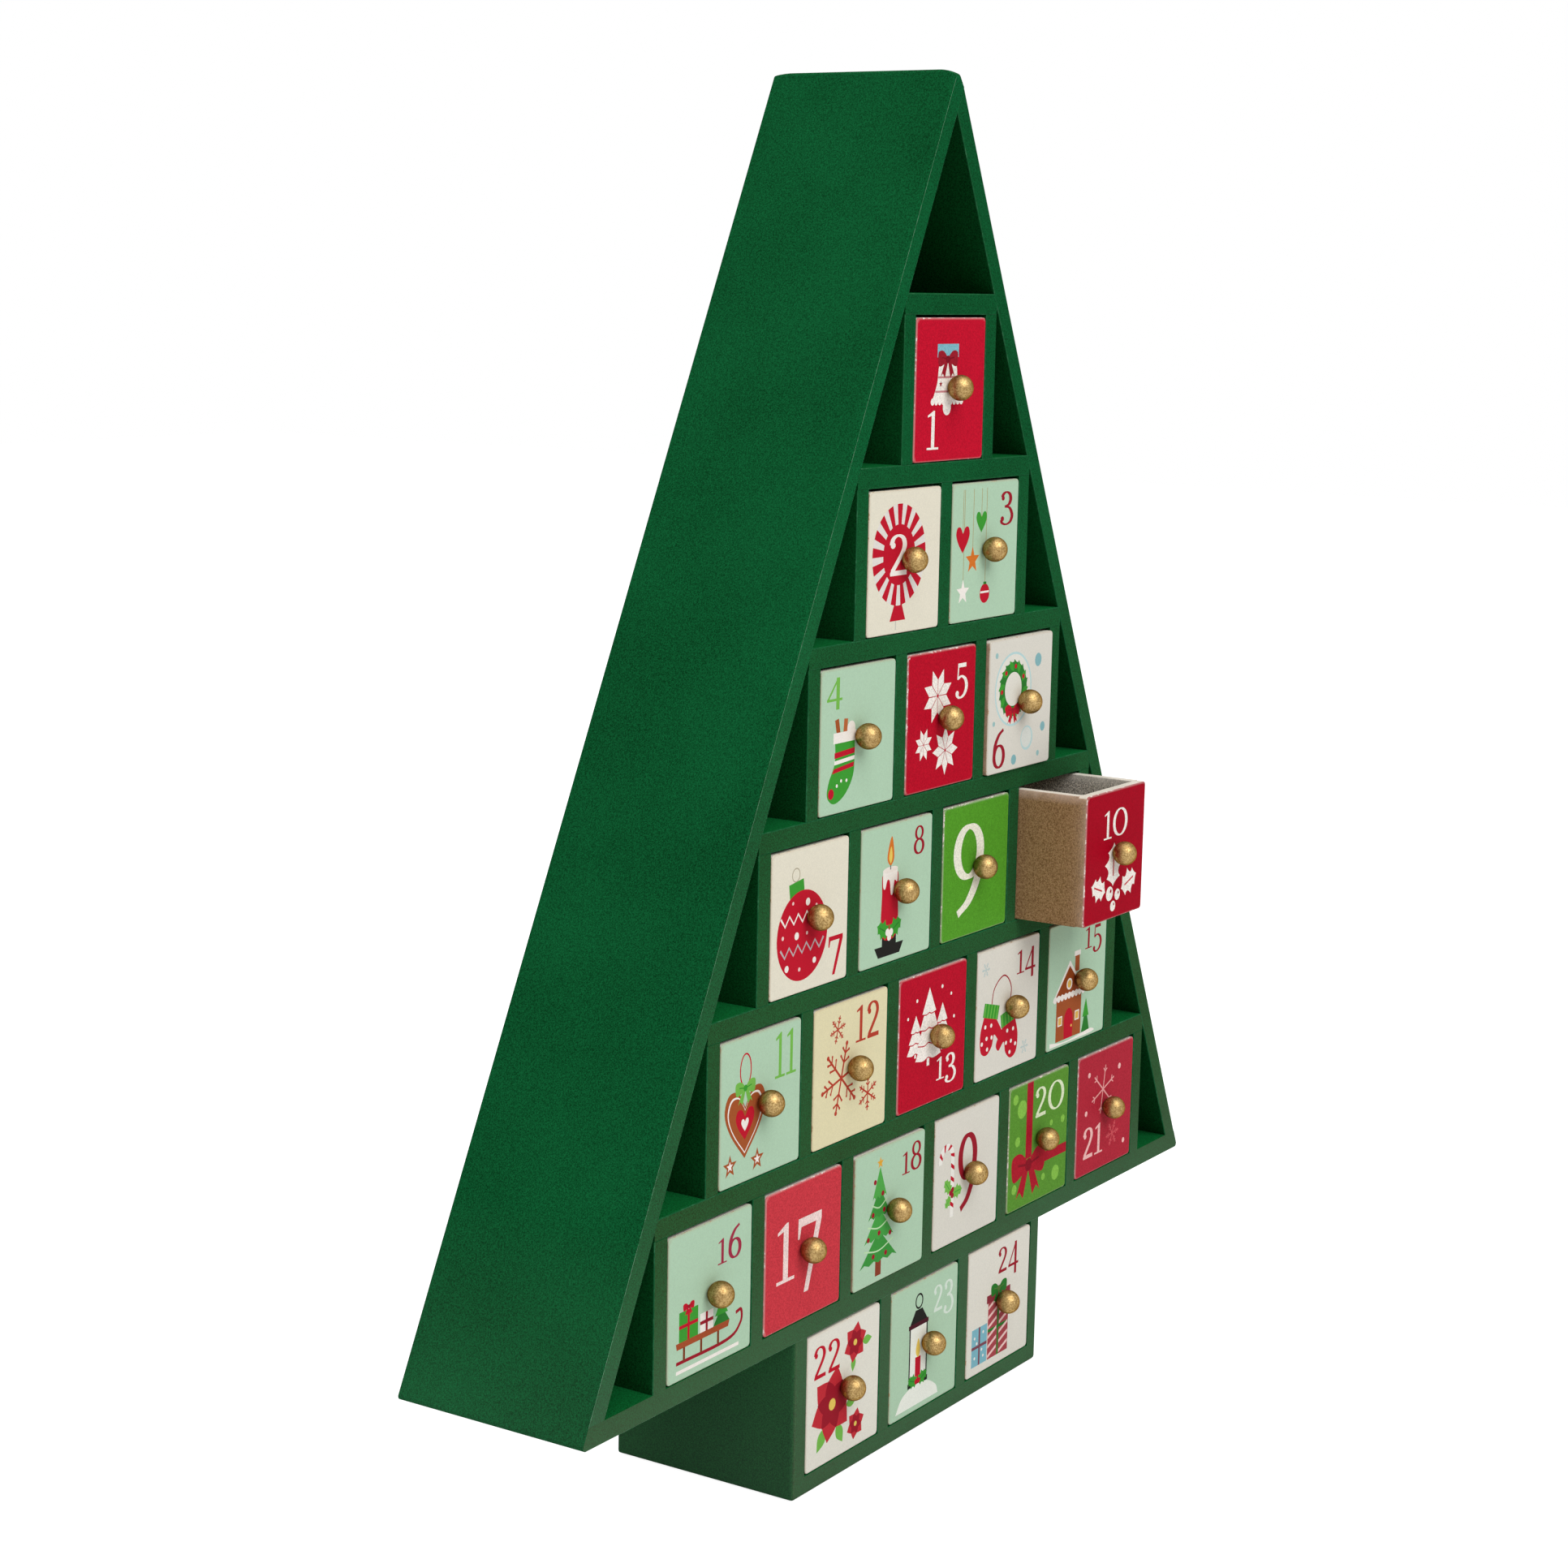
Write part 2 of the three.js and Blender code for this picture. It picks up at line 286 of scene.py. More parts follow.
def bare_board(name, core, core_light, spray):
    """Sawn medium-density fibreboard. Felted fibres without gloss, misted with pale spray near front and top.

    The Spray map gives how far behind the front and below the top a point is, in millimetres.
    """
    material, shader, place, add = new_finish(name, 0.85, specular=0.05)
    fibres = add("TexNoise", {"Vector": place, "Scale": 1 / FIBRES, "Detail": 1.0, "Distortion": 1.0})
    speckle = add("MapRange", [fibres, 0.35, 0.65])
    board = add("Mix", [speckle, linear(core), linear(core_light)], data_type="RGBA")
    spray_map = add("UVMap", uv_map="Spray")
    reach = add("SeparateXYZ", [spray_map])
    behind = add("MapRange", [reach.outputs["X"], 0.0, 14.0, 0.95, 0.0])
    by_front = add("Math", [behind, 7.0], operation="POWER")
    by_top = add("MapRange", [reach.outputs["Y"], 0.2, 3.2, 0.95, 0.0])
    dust = add("Math", [by_front, by_top], operation="MAXIMUM")
    patches = add("TexNoise", {"Vector": place, "Scale": 1 / SPRAY_PATCHES, "Detail": 3.0})
    uneven = add("MapRange", [patches, 0.2, 0.75, 0.35, 1.0])
    amount = add("Math", [dust, uneven], operation="MULTIPLY")
    colour = add("Mix", [amount, board, linear(spray)], data_type="RGBA")
    bump = add("Bump", {"Height": fibres, "Distance": 0.08 * MM, "Strength": 0.6})
    feed(shader, {"Base Color": colour, "Normal": bump})
    return material


def aged_gold(name):
    """Antiqued brass on a turned ball. Fine flake under a brown glaze, and one soft highlight."""
    material, shader, place, add = new_finish(name, 0.43, metallic=1.0)
    # The brown edge tint darkens the ball's rim: painted shade, standing in for dark surroundings seen in the
    # metal
    feed(shader, {"Specular Tint": linear("8c6641")})
    flake = add("TexNoise", {"Vector": place, "Scale": 1 / FLAKE, "Detail": 2.0, "Roughness": 0.7})
    glaze = add("TexNoise", {"Vector": place, "Scale": 1 / GLAZE_PATCHES})
    sparkle = add("MapRange", [flake, 0.3, 0.7])
    gold = add("Mix", [sparkle, linear("7c5f34"), linear("ceb078")], data_type="RGBA")
    stain = add("MapRange", [glaze, 0.45, 0.75, 0.0, 0.4])
    colour = add("Mix", [stain, gold, linear("6b4e22")], data_type="RGBA")
    bump = add("Bump", {"Height": flake, "Distance": 0.06 * MM, "Strength": 0.5})
    feed(shader, {"Base Color": colour, "Normal": bump})
    return material


# Tints of the painted sheen towards the foot: a warm brown on the lower half of forward faces, a pale
# grey-green at the foot
SHEEN_TINTS = ("7d5a44", "80a086")
GREEN_PAINT = sprayed_paint("matt_green_paint", "043718", "106235", 0.7, *SHEEN_TINTS)
# A lighter, greener copy of the green paint for the left board's front face: painted light, brighter on the
# left of the tree
LEFT_FRONT_PAINTED_LIGHT = sprayed_paint("green_paint_lightened_as_painted_light_on_left_board_front", "043b1b", "10693a", 0.7, "787664", "80a086")
# A greyer copy of the green paint for the trunk, which stands in the shade of the base: painted shade
SHADE_GREYED_TRUNK_PAINT = sprayed_paint("green_paint_greyed_as_painted_shade_on_the_trunk", "183723", "276235", 0.7, *SHEEN_TINTS)
# Darker copy of the green paint for the sides of the bays: painted shade
SHADED_PAINT = sprayed_paint("green_paint_darkened_as_painted_shade_in_bays", "032e11", "0e5526", 0.7)
# Lighter copy of the green paint for the floors of the bays: painted light
LIT_LEVEL_PAINT = sprayed_paint("green_paint_lightened_as_painted_light_on_level_boards", "084a1e", "13763a", 0.7)
SHELF_EDGE = rubbed_edge("green_paint_on_shelf_edges", "1a5a34", "3c7852", 0.2)
RUBBED_EDGE = rubbed_edge("green_paint_rubbed_thin_on_edges", "3d8058", "93bda0", 0.33)
# Dark green paint on the back panels, made darker still to match the shade deep in the bays: partly painted
# shade
PANEL_PAINT_WITH_PAINTED_SHADE = sprayed_paint("dark_green_paint_on_hardboard_with_painted_shade", "042a0e", "0b451c", 0.8)
BOX_BOARD = bare_board("bare_fibreboard_with_overspray", "7d5c3e", "b68e66", "e4c3b2")
BOX_RIM = bare_board("cream_primer_on_fibreboard", "cdbfa8", "efe6d8", "efe8dc")
BOX_INSIDE = bare_board("grey_sealed_fibreboard", "786f64", "f5ebdc", "f4ece0")
DEEP_FRONT = printed_front("printed_front_deep_ink", "f0dfd8", 1.0, 0.3, 0.14)
PALE_FRONT = printed_front("printed_front_pale_ink", "b3906a", 0.6, 0.28, 0.035)
KNOB_GOLD = aged_gold("aged_gold_metal")


# Meshes

# Least share of a face's normal that lies in a direction, for a face square to it or as lean as a side board
SQUARE_ON = 0.9
LEANING = 0.8


def make_piece(name, points, faces, finishes, finish_of_face=None):
    mesh = bpy.data.meshes.new(name)
    mesh.from_pydata(points, [], faces)
    for finish in finishes:
        mesh.materials.append(finish)
    if finish_of_face is not None:
        mesh.polygons.foreach_set("material_index", np.asarray(finish_of_face, np.int32))
    mesh.update()
    piece = bpy.data.objects.new(name, mesh)
    bpy.context.scene.collection.objects.link(piece)
    return piece


def settle(piece, body, node):
    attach(piece, body)
    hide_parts(node)


def carried(stations):
    """A closed outline carried through stations: rings of points joined by quads, closed at both ends.

    stations has the shape (rings, points, 3), each ring anticlockwise seen from the first ring's side.
    """
    rings, count, _ = stations.shape
    start = np.arange(rings - 1)[:, None] * count
    here = np.arange(count)[None, :]
    there = (here + 1) % count
    quads = np.stack([start + here, start + here + count, start + there + count, start + there], -1)
    faces = quads.reshape(-1, 4).tolist()
    faces.append(list(range(count)))
    faces.append(list(range(rings * count))[:-count - 1:-1])
    return stations.reshape(-1, 3), faces


def board(outline, near, far):
    """An outline in X and Z, anticlockwise seen from the front, carried straight back from near to far."""
    outline = np.asarray(outline, float)
    ring = np.insert(outline, 1, near, axis=1)
    return carried(np.stack([ring, np.insert(outline, 1, far, axis=1)]))


def rectangle(left, low, right, high):
    return [(left, low), (right, low), (right, high), (left, high)]


def both_sides(right):
    """An outline from its right half, which runs from below to above, and that half's mirror image."""
    right = np.asarray(right, float)
    return np.concatenate([right, right[::-1] * (-1, 1)])


def arc(centre, radius, start, end, steps):
    turn = np.linspace(start, end, steps + 1)
    return np.stack([centre[0] + radius * np.cos(turn), centre[1] + radius * np.sin(turn)], -1)


def round_edges(piece, radius, lowest, highest, along=None):
    """Rounds the edges that lie between two corners of a box and, if along is given, run in its direction."""
    mesh = piece.data
    ends = np.empty(len(mesh.edges) * 2, np.int32)
    mesh.edges.foreach_get("vertices", ends)
    points = np.empty(len(mesh.vertices) * 3)
    mesh.vertices.foreach_get("co", points)
    first, second = points.reshape(-1, 3)[ends].reshape(-1, 2, 3).transpose(1, 0, 2)
    slack = 0.01 * MM
    inside = (np.minimum(first, second) > np.array(lowest) - slack).all(1)
    inside &= (np.maximum(first, second) < np.array(highest) + slack).all(1)
    if along is not None:
        run = second - first
        run /= np.linalg.norm(run, axis=1, keepdims=True)
        inside &= np.abs(run @ np.array(along)) > 0.98
    weights = mesh.attributes.new("bevel_weight_edge", "FLOAT", "EDGE")
    weights.data.foreach_set("value", inside.astype(np.float32))
    bevel = piece.modifiers.new("rounded_edges", "BEVEL")
    bevel.width = radius
    bevel.segments = ARRIS_STEPS
    bevel.limit_method = "WEIGHT"
    bevel.material = len(mesh.materials) - 1


def paint_case(name, points, faces, edge, outside=GREEN_PAINT, front=GREEN_PAINT):
    """A piece of the case. Inside the tree, faces that look sideways get a darker copy of the paint, painted
    shade, and level ones a lighter copy, painted light.

    A face is inside where its middle is no further out than the side boards' inner faces, or the trunk's.
    """
    finishes = list(dict.fromkeys([outside, front, SHADED_PAINT, LIT_LEVEL_PAINT, edge]))
    piece = make_piece(name, points, faces, finishes)
    polygons = piece.data.polygons
    normals, centres = np.empty((2, len(polygons) * 3))
    polygons.foreach_get("normal", normals)
    polygons.foreach_get("center", centres)
    sideways, backwards, upwards = normals.reshape(-1, 3).T
    across, _, height = centres.reshape(-1, 3).T
    margin = 0.1 * MM
    widest = np.where(height > BASE_LOW, inner_half(height) + margin, TRUNK_HALF - BOARD / 2)
    inside = np.abs(across) < widest
    looks = [inside & (upwards > SQUARE_ON), inside & (np.abs(sideways) > LEANING), backwards < -SQUARE_ON]
    slots = [finishes.index(finish) for finish in (LIT_LEVEL_PAINT, SHADED_PAINT, front)]
    polygons.foreach_set("material_index", np.select(looks, slots, 0).astype(np.int32))
    return piece


def add_case_board(name, outline, far, node, along, edge=SHELF_EDGE, highest=1.0, edge_far=1.0):
    """A painted board, its edges rounded where they run along a direction, up to a height and a depth."""
    piece = paint_case(name, *board(outline, FRONT, far), edge)
    round_edges(piece, SHELF_ARRIS, (-1, -1, -1), (1, edge_far, highest), along)
    settle(piece, "case", node)


# The case

def row_floor(row):
    return BASE_TOP + (TREE_ROWS - row) * ROW_PITCH


def row_half(bays):
    return (bays * PITCH + BOARD) / 2


def add_side_boards():
    """The left board runs to a rounded tip, sanded down at the ends of the ridge, half as much behind.

    At t from an end, the tip stays below the ridge by drop * (1 - t/length)^2, and within corner_length of
    the end by another corner_drop * (1 - sqrt(1 - (1 - t/corner_length)^2)).
    """
    foot = BASE_TOP
    lean = (-math.sin(SIDE_ANGLE), 0, -math.cos(SIDE_ANGLE))
    ridge = height_at(0, SIDE_REACH)
    tip_centre = ridge - TIP_RADIUS / math.sin(SIDE_ANGLE)
    butt = (SIDE_RUN / 2, height_at(-SIDE_RUN / 2, SIDE_REACH - SIDE_RUN))
    tip = arc((0, tip_centre), TIP_RADIUS, SIDE_ANGLE, math.pi - SIDE_ANGLE, TIP_STEPS)
    outline = np.array([(-outer_half(foot), foot), (-inner_half(foot), foot), butt, *tip])
    by_corner = np.linspace(0, 1, 6) ** 2 * TIP_CORNER_LENGTH
    reach = np.concatenate([by_corner, np.linspace(0.2, 1, 8) * TIP_SANDED_LENGTH])
    depths = np.concatenate([FRONT + reach, BACK - reach[::-1]])
    nearer = np.minimum(depths - FRONT, BACK - depths)
    sanded = TIP_SANDED_DROP * np.clip(1 - nearer / TIP_SANDED_LENGTH, 0, 1) ** 2
    corner = 1 - np.sqrt(1 - np.clip(1 - nearer / TIP_CORNER_LENGTH, 0, 1) ** 2)
    cap = tip_centre + TIP_RADIUS - (sanded + TIP_CORNER_DROP * corner) * np.where(depths < 0, 1.0, 0.5)
    stations = np.empty((len(depths), len(outline), 3))
    stations[:, :, 0] = outline[:, 0]
    stations[:, :, 1] = depths[:, None]
    stations[:, :, 2] = np.minimum(outline[:, 1], cap[:, None])
    # The left board's front face takes the lighter copy of the paint: painted light
    left = paint_case("left_board", *carried(stations), RUBBED_EDGE, front=LEFT_FRONT_PAINTED_LIGHT)
    round_edges(left, SIDE_ARRIS, (-1, FRONT, foot), (1, FRONT, 1), lean)
    settle(left, "case", "left_side_board")

    inner_top = (0, height_at(0, SIDE_REACH - SIDE_RUN))
    outer_top = (SIDE_RUN / 2, height_at(SIDE_RUN / 2, SIDE_REACH))
    outline = [(inner_half(foot), foot), (outer_half(foot), foot), outer_top, inner_top]
    lean = (-lean[0], 0, lean[2])
    add_case_board("right_board", outline, BACK, "right_side_board", lean, edge_far=FRONT)


def add_upright(name, x, low, high, far, node):
    outline = rectangle(x - BOARD / 2, low, x + BOARD / 2, high)
    add_case_board(name, outline, far, node, (0, 0, 1), edge_far=FRONT)


def upright_centres(bays):
    return [(i - bays / 2) * PITCH for i in range(bays + 1)]


def add_shelves():
    """Each row's shelf, planed at its top corners to the lean of the sides, and the uprights on it."""
    for row in range(TREE_ROWS):
        node = f"row_{row}_frame" if row else "top_shelf"
        top = row_floor(row)
        low = top - BOARD
        half = row_half(row + 1)
        planed = height_at(half, SIDE_REACH - SIDE_RUN)
        outline = both_sides([(half, low), (half, planed), (inner_half(top), top)])
        add_case_board(f"shelf_{row}", outline, PANEL_FRONT, node, (1, 0, 0), edge_far=FRONT)
    for row in range(1, TREE_ROWS + 1):
        node = f"row_{row}_frame" if row < TREE_ROWS else "base_board"
        low = row_floor(row)
        for i, x in enumerate(upright_centres(row)):
            add_upright(f"upright_{row}_{i}", x, low, low + ROW_PITCH - BOARD, PANEL_FRONT, node)


def trunk_outline(inset):
    """The trunk's floor and outer uprights, sanded as one, from the front, its outside drawn in by inset."""
    centre = (TRUNK_HALF - TRUNK_RADIUS, TRUNK_RADIUS)
    corner = arc(centre, TRUNK_RADIUS - inset, -math.pi / 2, 0, CORNER_STEPS)
    inner = TRUNK_HALF - BOARD
    return both_sides([*corner, (TRUNK_HALF - inset, BASE_LOW), (inner, BASE_LOW), (inner, BOARD)])


def add_base_and_trunk():
    """The base, its ends rounded into the sides' lean, and the trunk, its outside rounded towards the front.

    At a turn a from the side, the trunk's outline is drawn in by R (1 - cos a) at a depth of R (1 - sin a).
    Its front keeps a tenth of the radius at the corners, so that no two points fall together.
    """
    low, high = outer_half(BASE_LOW), outer_half(BASE_TOP)
    inward = BASE_END_RADIUS * math.tan((math.pi / 2 + SIDE_ANGLE) / 2)
    centre = (low - inward, BASE_LOW + BASE_END_RADIUS)
    corner = arc(centre, BASE_END_RADIUS, -math.pi / 2, SIDE_ANGLE, CORNER_STEPS)
    outline = both_sides([*corner, (high, BASE_TOP)])
    add_case_board("base", outline, BACK, "base_board", (1, 0, 0), RUBBED_EDGE, highest=BASE_LOW)
    inner = TRUNK_HALF - BOARD
    turn = np.linspace(math.pi / 2, 0, CORNER_STEPS)
    kept = 0.1
    insets = np.minimum(1 - np.cos(turn), 1 - kept) * TRUNK_RADIUS
    depths = FRONT + (1 - np.sin(turn)) * TRUNK_RADIUS
    rings = [np.insert(trunk_outline(inset), 1, y, axis=1) for inset, y in [*zip(insets, depths), (0, BACK)]]
    # The trunk's outside takes the greyed copy of the paint: painted shade
    trunk = paint_case("trunk_shell", *carried(np.stack(rings)), SHELF_EDGE, outside=SHADE_GREYED_TRUNK_PAINT)
    round_edges(trunk, SHELF_ARRIS, (-inner, FRONT, BOARD), (inner, FRONT, BASE_LOW))
    settle(trunk, "case", "trunk_frame")
    for i, x in enumerate(upright_centres(TRUNK_BAYS)[1:-1], start=1):
        add_upright(f"trunk_upright_{i}", x, BOARD, BASE_LOW, PANEL_FRONT, "trunk_frame")


def add_back_panels():
    half = inner_half(BASE_TOP)
    apex = height_at(0, SIDE_REACH - SIDE_RUN)
    inner = TRUNK_HALF - BOARD
    panels = {
        "tree": [(-half, BASE_TOP), (half, BASE_TOP), (0, apex)],
        "trunk": rectangle(-inner, BOARD, inner, BASE_LOW),
    }
    for name, outline in panels.items():
        points, faces = board(outline, PANEL_FRONT, BACK)
        # The back panels take the darkened paint: partly painted shade
        piece = make_piece(f"{name}_back", points, faces, [PANEL_PAINT_WITH_PAINTED_SHADE])
        settle(piece, "case", f"{name}_back_panel")


add_side_boards()
add_shelves()
add_base_and_trunk()
add_back_panels()


# Flat shapes for the prints: each is a list of (points, ink), laid over the ones before

WHITE = "f3ece4"
RED = "bf1a2e"
DEEP_RED = "9a1d2c"
GREEN = "3f9a35"
DARK_GREEN = "2f7a30"
LEAF = "76b84f"
BROWN = "a4552e"
ORANGE = "d5742c"
BLACK = "23221f"
BLUE = "7fb6c4"
PALE_BLUE = "b9d6d6"
YELLOW = "e8c860"


def ring_of(x, y, rx, ry, steps, start=0.0, sweep=2 * math.pi):
    """Points round an ellipse, or along a part of it."""
    closed = abs(sweep) >= 2 * math.pi
    t = start + sweep * np.linspace(0, 1, steps + 1)[: steps if closed else steps + 1]
    return np.stack([x + rx * np.cos(t), y + ry * np.sin(t)], -1)


def spot(x, y, r, ink, ry=None, steps=24):
    return [(ring_of(x, y, r, ry or r, steps), ink)]


def area(points, ink):
    return [(np.asarray(points, float), ink)]


def slab(left, low, right, high, ink):
    return area(rectangle(left, low, right, high), ink)


def smooth(points, steps, closed=False):
    """Catmull-Rom curve through the points."""
    p = np.asarray(points, float)
    if closed:
        p = np.vstack([p[-1], p, p[0], p[1]])
    else:
        p = np.vstack([2 * p[0] - p[1], p, 2 * p[-1] - p[-2]])
    a, b, c, d = (p[i:len(p) - 3 + i, None] for i in range(4))
    t = np.linspace(0, 1, steps, endpoint=False)[None, :, None]
    curve = 2 * b + (c - a) * t + (2 * a - 5 * b + 4 * c - d) * t ** 2 + (3 * b - a - 3 * c + d) * t ** 3
    curve = (0.5 * curve).reshape(-1, 2)
    return curve if closed else np.vstack([curve, p[-2]])


def pen(points, ink, thick, thin=None, closed=False):
    """A stroke as a chain of quads. It is thin where it runs level and thick where it runs upright.

    Its width is thin + (thick - thin) * s^1.3, where s is the share of its run that goes up or down. Where
    the inner side of a bend would fold over, the quad becomes a plain rectangle along its own segment.
    """
    p = np.asarray(points, float)
    thin = thick if thin is None else thin
    if closed:
        p = np.vstack([p, p[0]])
        run = np.roll(p[:-1], -1, 0) - np.roll(p[:-1], 1, 0)
        run = np.vstack([run, run[0]])
    else:
        run = np.gradient(p, axis=0)
    run /= np.linalg.norm(run, axis=1, keepdims=True)
    half = (thin + (thick - thin) * np.abs(run[:, 1:]) ** 1.3) / 2
    side = np.stack([-run[:, 1], run[:, 0]], -1) * half
    left, right = p + side, p - side
    quads = np.stack([right[:-1], right[1:], left[1:], left[:-1]], 1)
    straight = np.diff(p, axis=0)
    straight /= np.linalg.norm(straight, axis=1, keepdims=True)
    side = np.stack([-straight[:, 1], straight[:, 0]], -1)
    plain = np.stack([p[:-1] - side * half[:-1], p[1:] - side * half[1:], p[1:] + side * half[1:],
                      p[:-1] + side * half[:-1]], 1)
    folds = ((right[1:] - right[:-1]) * straight).sum(1) <= 0
    folds |= ((left[1:] - left[:-1]) * straight).sum(1) <= 0
    return [(quad, ink) for quad in np.where(folds[:, None, None], plain, quads)]


def placed(shapes, x, y, scale=1.0, turn=0.0, scale_y=None):
    """Shapes scaled, turned and moved to (x, y)."""
    size = np.array([scale, scale if scale_y is None else scale_y])
    spin = np.array([[math.cos(turn), math.sin(turn)], [-math.sin(turn), math.cos(turn)]])
    return [((points * size) @ spin + (x, y), ink) for points, ink in shapes]


# Numerals: old-style figures with thick uprights and thin level strokes, drawn one unit high

def figure(digit, ink):
    if digit == "0":
        return pen(ring_of(0.45, 0.5, 0.37, 0.46, 40), ink, 0.15, 0.05, closed=True)
    if digit == "1":
        stem = [(0.18, 0.02), (0.31, 0.02), (0.31, 0.985), (0.26, 0.985), (0.03, 0.87), (0.03, 0.82),
                (0.18, 0.86)]
        return area(stem, ink) + slab(0.01, 0.0, 0.48, 0.055, ink)
    if digit == "2":
        bowl = smooth([(0.05, 0.74), (0.12, 0.9), (0.27, 0.965), (0.43, 0.9), (0.49, 0.73), (0.42, 0.54),
                       (0.26, 0.32), (0.09, 0.1)], 8)
        foot = area([(0.03, 0.0), (0.57, 0.0), (0.57, 0.12), (0.05, 0.12), (0.02, 0.06)], ink)
        return pen(bowl, ink, 0.14, 0.055) + foot + spot(0.105, 0.735, 0.078, ink, steps=16)
    if digit == "3":
        upper = smooth([(0.07, 0.82), (0.15, 0.93), (0.28, 0.97), (0.42, 0.9), (0.46, 0.75), (0.38, 0.61),
                        (0.2, 0.55)], 8)
        lower = smooth([(0.2, 0.55), (0.42, 0.5), (0.54, 0.29), (0.46, 0.1), (0.27, 0.03), (0.1, 0.08),
                        (0.05, 0.18)], 8)
        balls = spot(0.12, 0.8, 0.07, ink, steps=16) + spot(0.105, 0.2, 0.078, ink, steps=16)
        return pen(upper, ink, 0.14, 0.05) + pen(lower, ink, 0.13, 0.05) + balls
    if digit == "4":
        slant = pen([(0.43, 0.96), (0.03, 0.31)], ink, 0.06)
        bar = slab(0.0, 0.27, 0.6, 0.35, ink)
        return slant + bar + slab(0.36, 0.0, 0.49, 0.985, ink)
    if digit == "5":
        flag = slab(0.12, 0.87, 0.5, 0.985, ink)
        stem = area([(0.09, 0.54), (0.15, 0.57), (0.17, 0.93), (0.12, 0.93)], ink)
        bowl = smooth([(0.11, 0.56), (0.3, 0.62), (0.48, 0.51), (0.53, 0.3), (0.42, 0.1), (0.22, 0.03),
                       (0.05, 0.14)], 8)
        return flag + stem + pen(bowl, ink, 0.13, 0.05) + spot(0.105, 0.16, 0.075, ink, steps=16)
    if digit == "7":
        bar = area([(0.02, 0.72), (0.06, 0.72), (0.1, 0.87), (0.58, 0.87), (0.58, 0.985), (0.03, 0.985)], ink)
        return bar + area([(0.18, 0.0), (0.285, 0.0), (0.58, 0.88), (0.455, 0.88)], ink)
    if digit == "8":
        upper = pen(ring_of(0.3, 0.745, 0.19, 0.215, 28), ink, 0.12, 0.055, closed=True)
        return upper + pen(ring_of(0.3, 0.275, 0.235, 0.245, 32), ink, 0.14, 0.055, closed=True)
    bowl = pen(ring_of(0.32, 0.31, 0.235, 0.275, 40), ink, 0.15, 0.055, closed=True)
    six = bowl + pen(smooth([(0.52, 0.975), (0.3, 0.85), (0.13, 0.61), (0.085, 0.33)], 10), ink, 0.15, 0.05)
    return six if digit == "6" else placed(six, 0.62, 1.0, turn=math.pi)


DESCENDS = {"3", "4", "5", "7", "9"}
ASCENDS = {"6", "8"}
TALL = 1.3
TALL_WIDTH = 1.12
USUAL_SET_WIDTH = 0.68
SET_WIDTH = {"0": 0.96, "1": 0.54}


def numeral(text, left, low, right, high, ink):
    """A number set in old-style figures, with its overall size fitted to a box."""
    shapes, x = [], 0.0
    for digit in text:
        tall = len(text) > 1 and digit in DESCENDS | ASCENDS
        width, height = (TALL_WIDTH, TALL) if tall else (1.0, 1.0)
        drop = height - 1 if digit in DESCENDS else 0.0
        shapes += placed(figure(digit, ink), x, -drop, width, scale_y=height)
        x += SET_WIDTH.get(digit, USUAL_SET_WIDTH) * width
    every = np.vstack([points for points, _ in shapes])
    start, end = every.min(0), every.max(0)
    scale = np.array([right - left, high - low]) / (end - start)
    return [((points - start) * scale + (left, low), ink) for points, ink in shapes]


# Motifs

def petals(x, y, reach, count, ink, turn=0.0):
    """A traditional knitted star: split lozenges round a middle point."""
    lozenge = [(0.06, 0.012), (0.55, 0.21), (1.0, 0.0), (0.55, -0.21), (0.06, -0.012)]
    shapes = []
    for k in range(count):
        shapes += placed(area(lozenge[::-1], ink), x, y, reach, turn + 2 * math.pi * k / count)
    return shapes


def five_star(x, y, reach, ink):
    t = math.pi / 2 + np.arange(10) * math.pi / 5
    r = reach * np.where(np.arange(10) % 2, 0.42, 1.0)
    return area(np.stack([x + r * np.cos(t), y + r * np.sin(t)], -1), ink)


def snowflake(x, y, reach, ink, width, turn=0.0, knobs=True, barbs=(0.45, 0.72)):
    shapes = []
    for k in range(6):
        a = turn + k * math.pi / 3
        out = np.array([math.cos(a), math.sin(a)])
        shapes += pen([(x, y), (x, y) + out * reach], ink, width)
        if knobs:
            shapes += spot(*((x, y) + out * reach), width * 0.95, ink, steps=12)
        for place in barbs:
            root = (x, y) + out * reach * place
            length = reach * (0.26 if place < 0.6 else 0.2)
            for lean in (-0.9, 0.9):
                end = root + length * np.array([math.cos(a + lean), math.sin(a + lean)])
                shapes += pen([root, end], ink, width * 0.8)
                if knobs:
                    shapes += spot(*end, width * 0.6, ink, steps=8)
    return shapes


def holly_leaf(x, y, length, turn, ink, vein):
    """A leaf whose sides curve in by depth * 4 s (1 - s) between spikes, at s along each curve."""
    spikes = np.array([(0.0, 0.0), (0.20, 0.32), (0.52, 0.42), (0.80, 0.28), (1.0, 0.0)])[:, None]
    s = np.linspace(0, 1, 5, endpoint=False)[:, None]
    depth = np.array([0.06, 0.13, 0.13, 0.05])[:, None, None] * (0, 1)
    upper = spikes[:-1] + (spikes[1:] - spikes[:-1]) * s - depth * (4 * s * (1 - s))
    upper = np.vstack([upper.reshape(-1, 2), [(1.0, 0.0)]])
    outline = np.vstack([upper, upper[-2:0:-1] * (1, -1)])
    shapes = placed(area(outline, ink), x, y, length, turn)
    return shapes + placed(pen([(0.24, 0.0), (0.80, 0.0)], vein, 0.05), x, y, length, turn)


def plain_leaf(x, y, length, turn, ink, width=0.24):
    upper = smooth([(0, 0), (0.3, width * 0.9), (0.6, width), (1, 0)], 5)
    outline = np.vstack([upper, upper[-2:0:-1] * (1, -1)])
    return placed(area(outline[::-1], ink), x, y, length, turn)


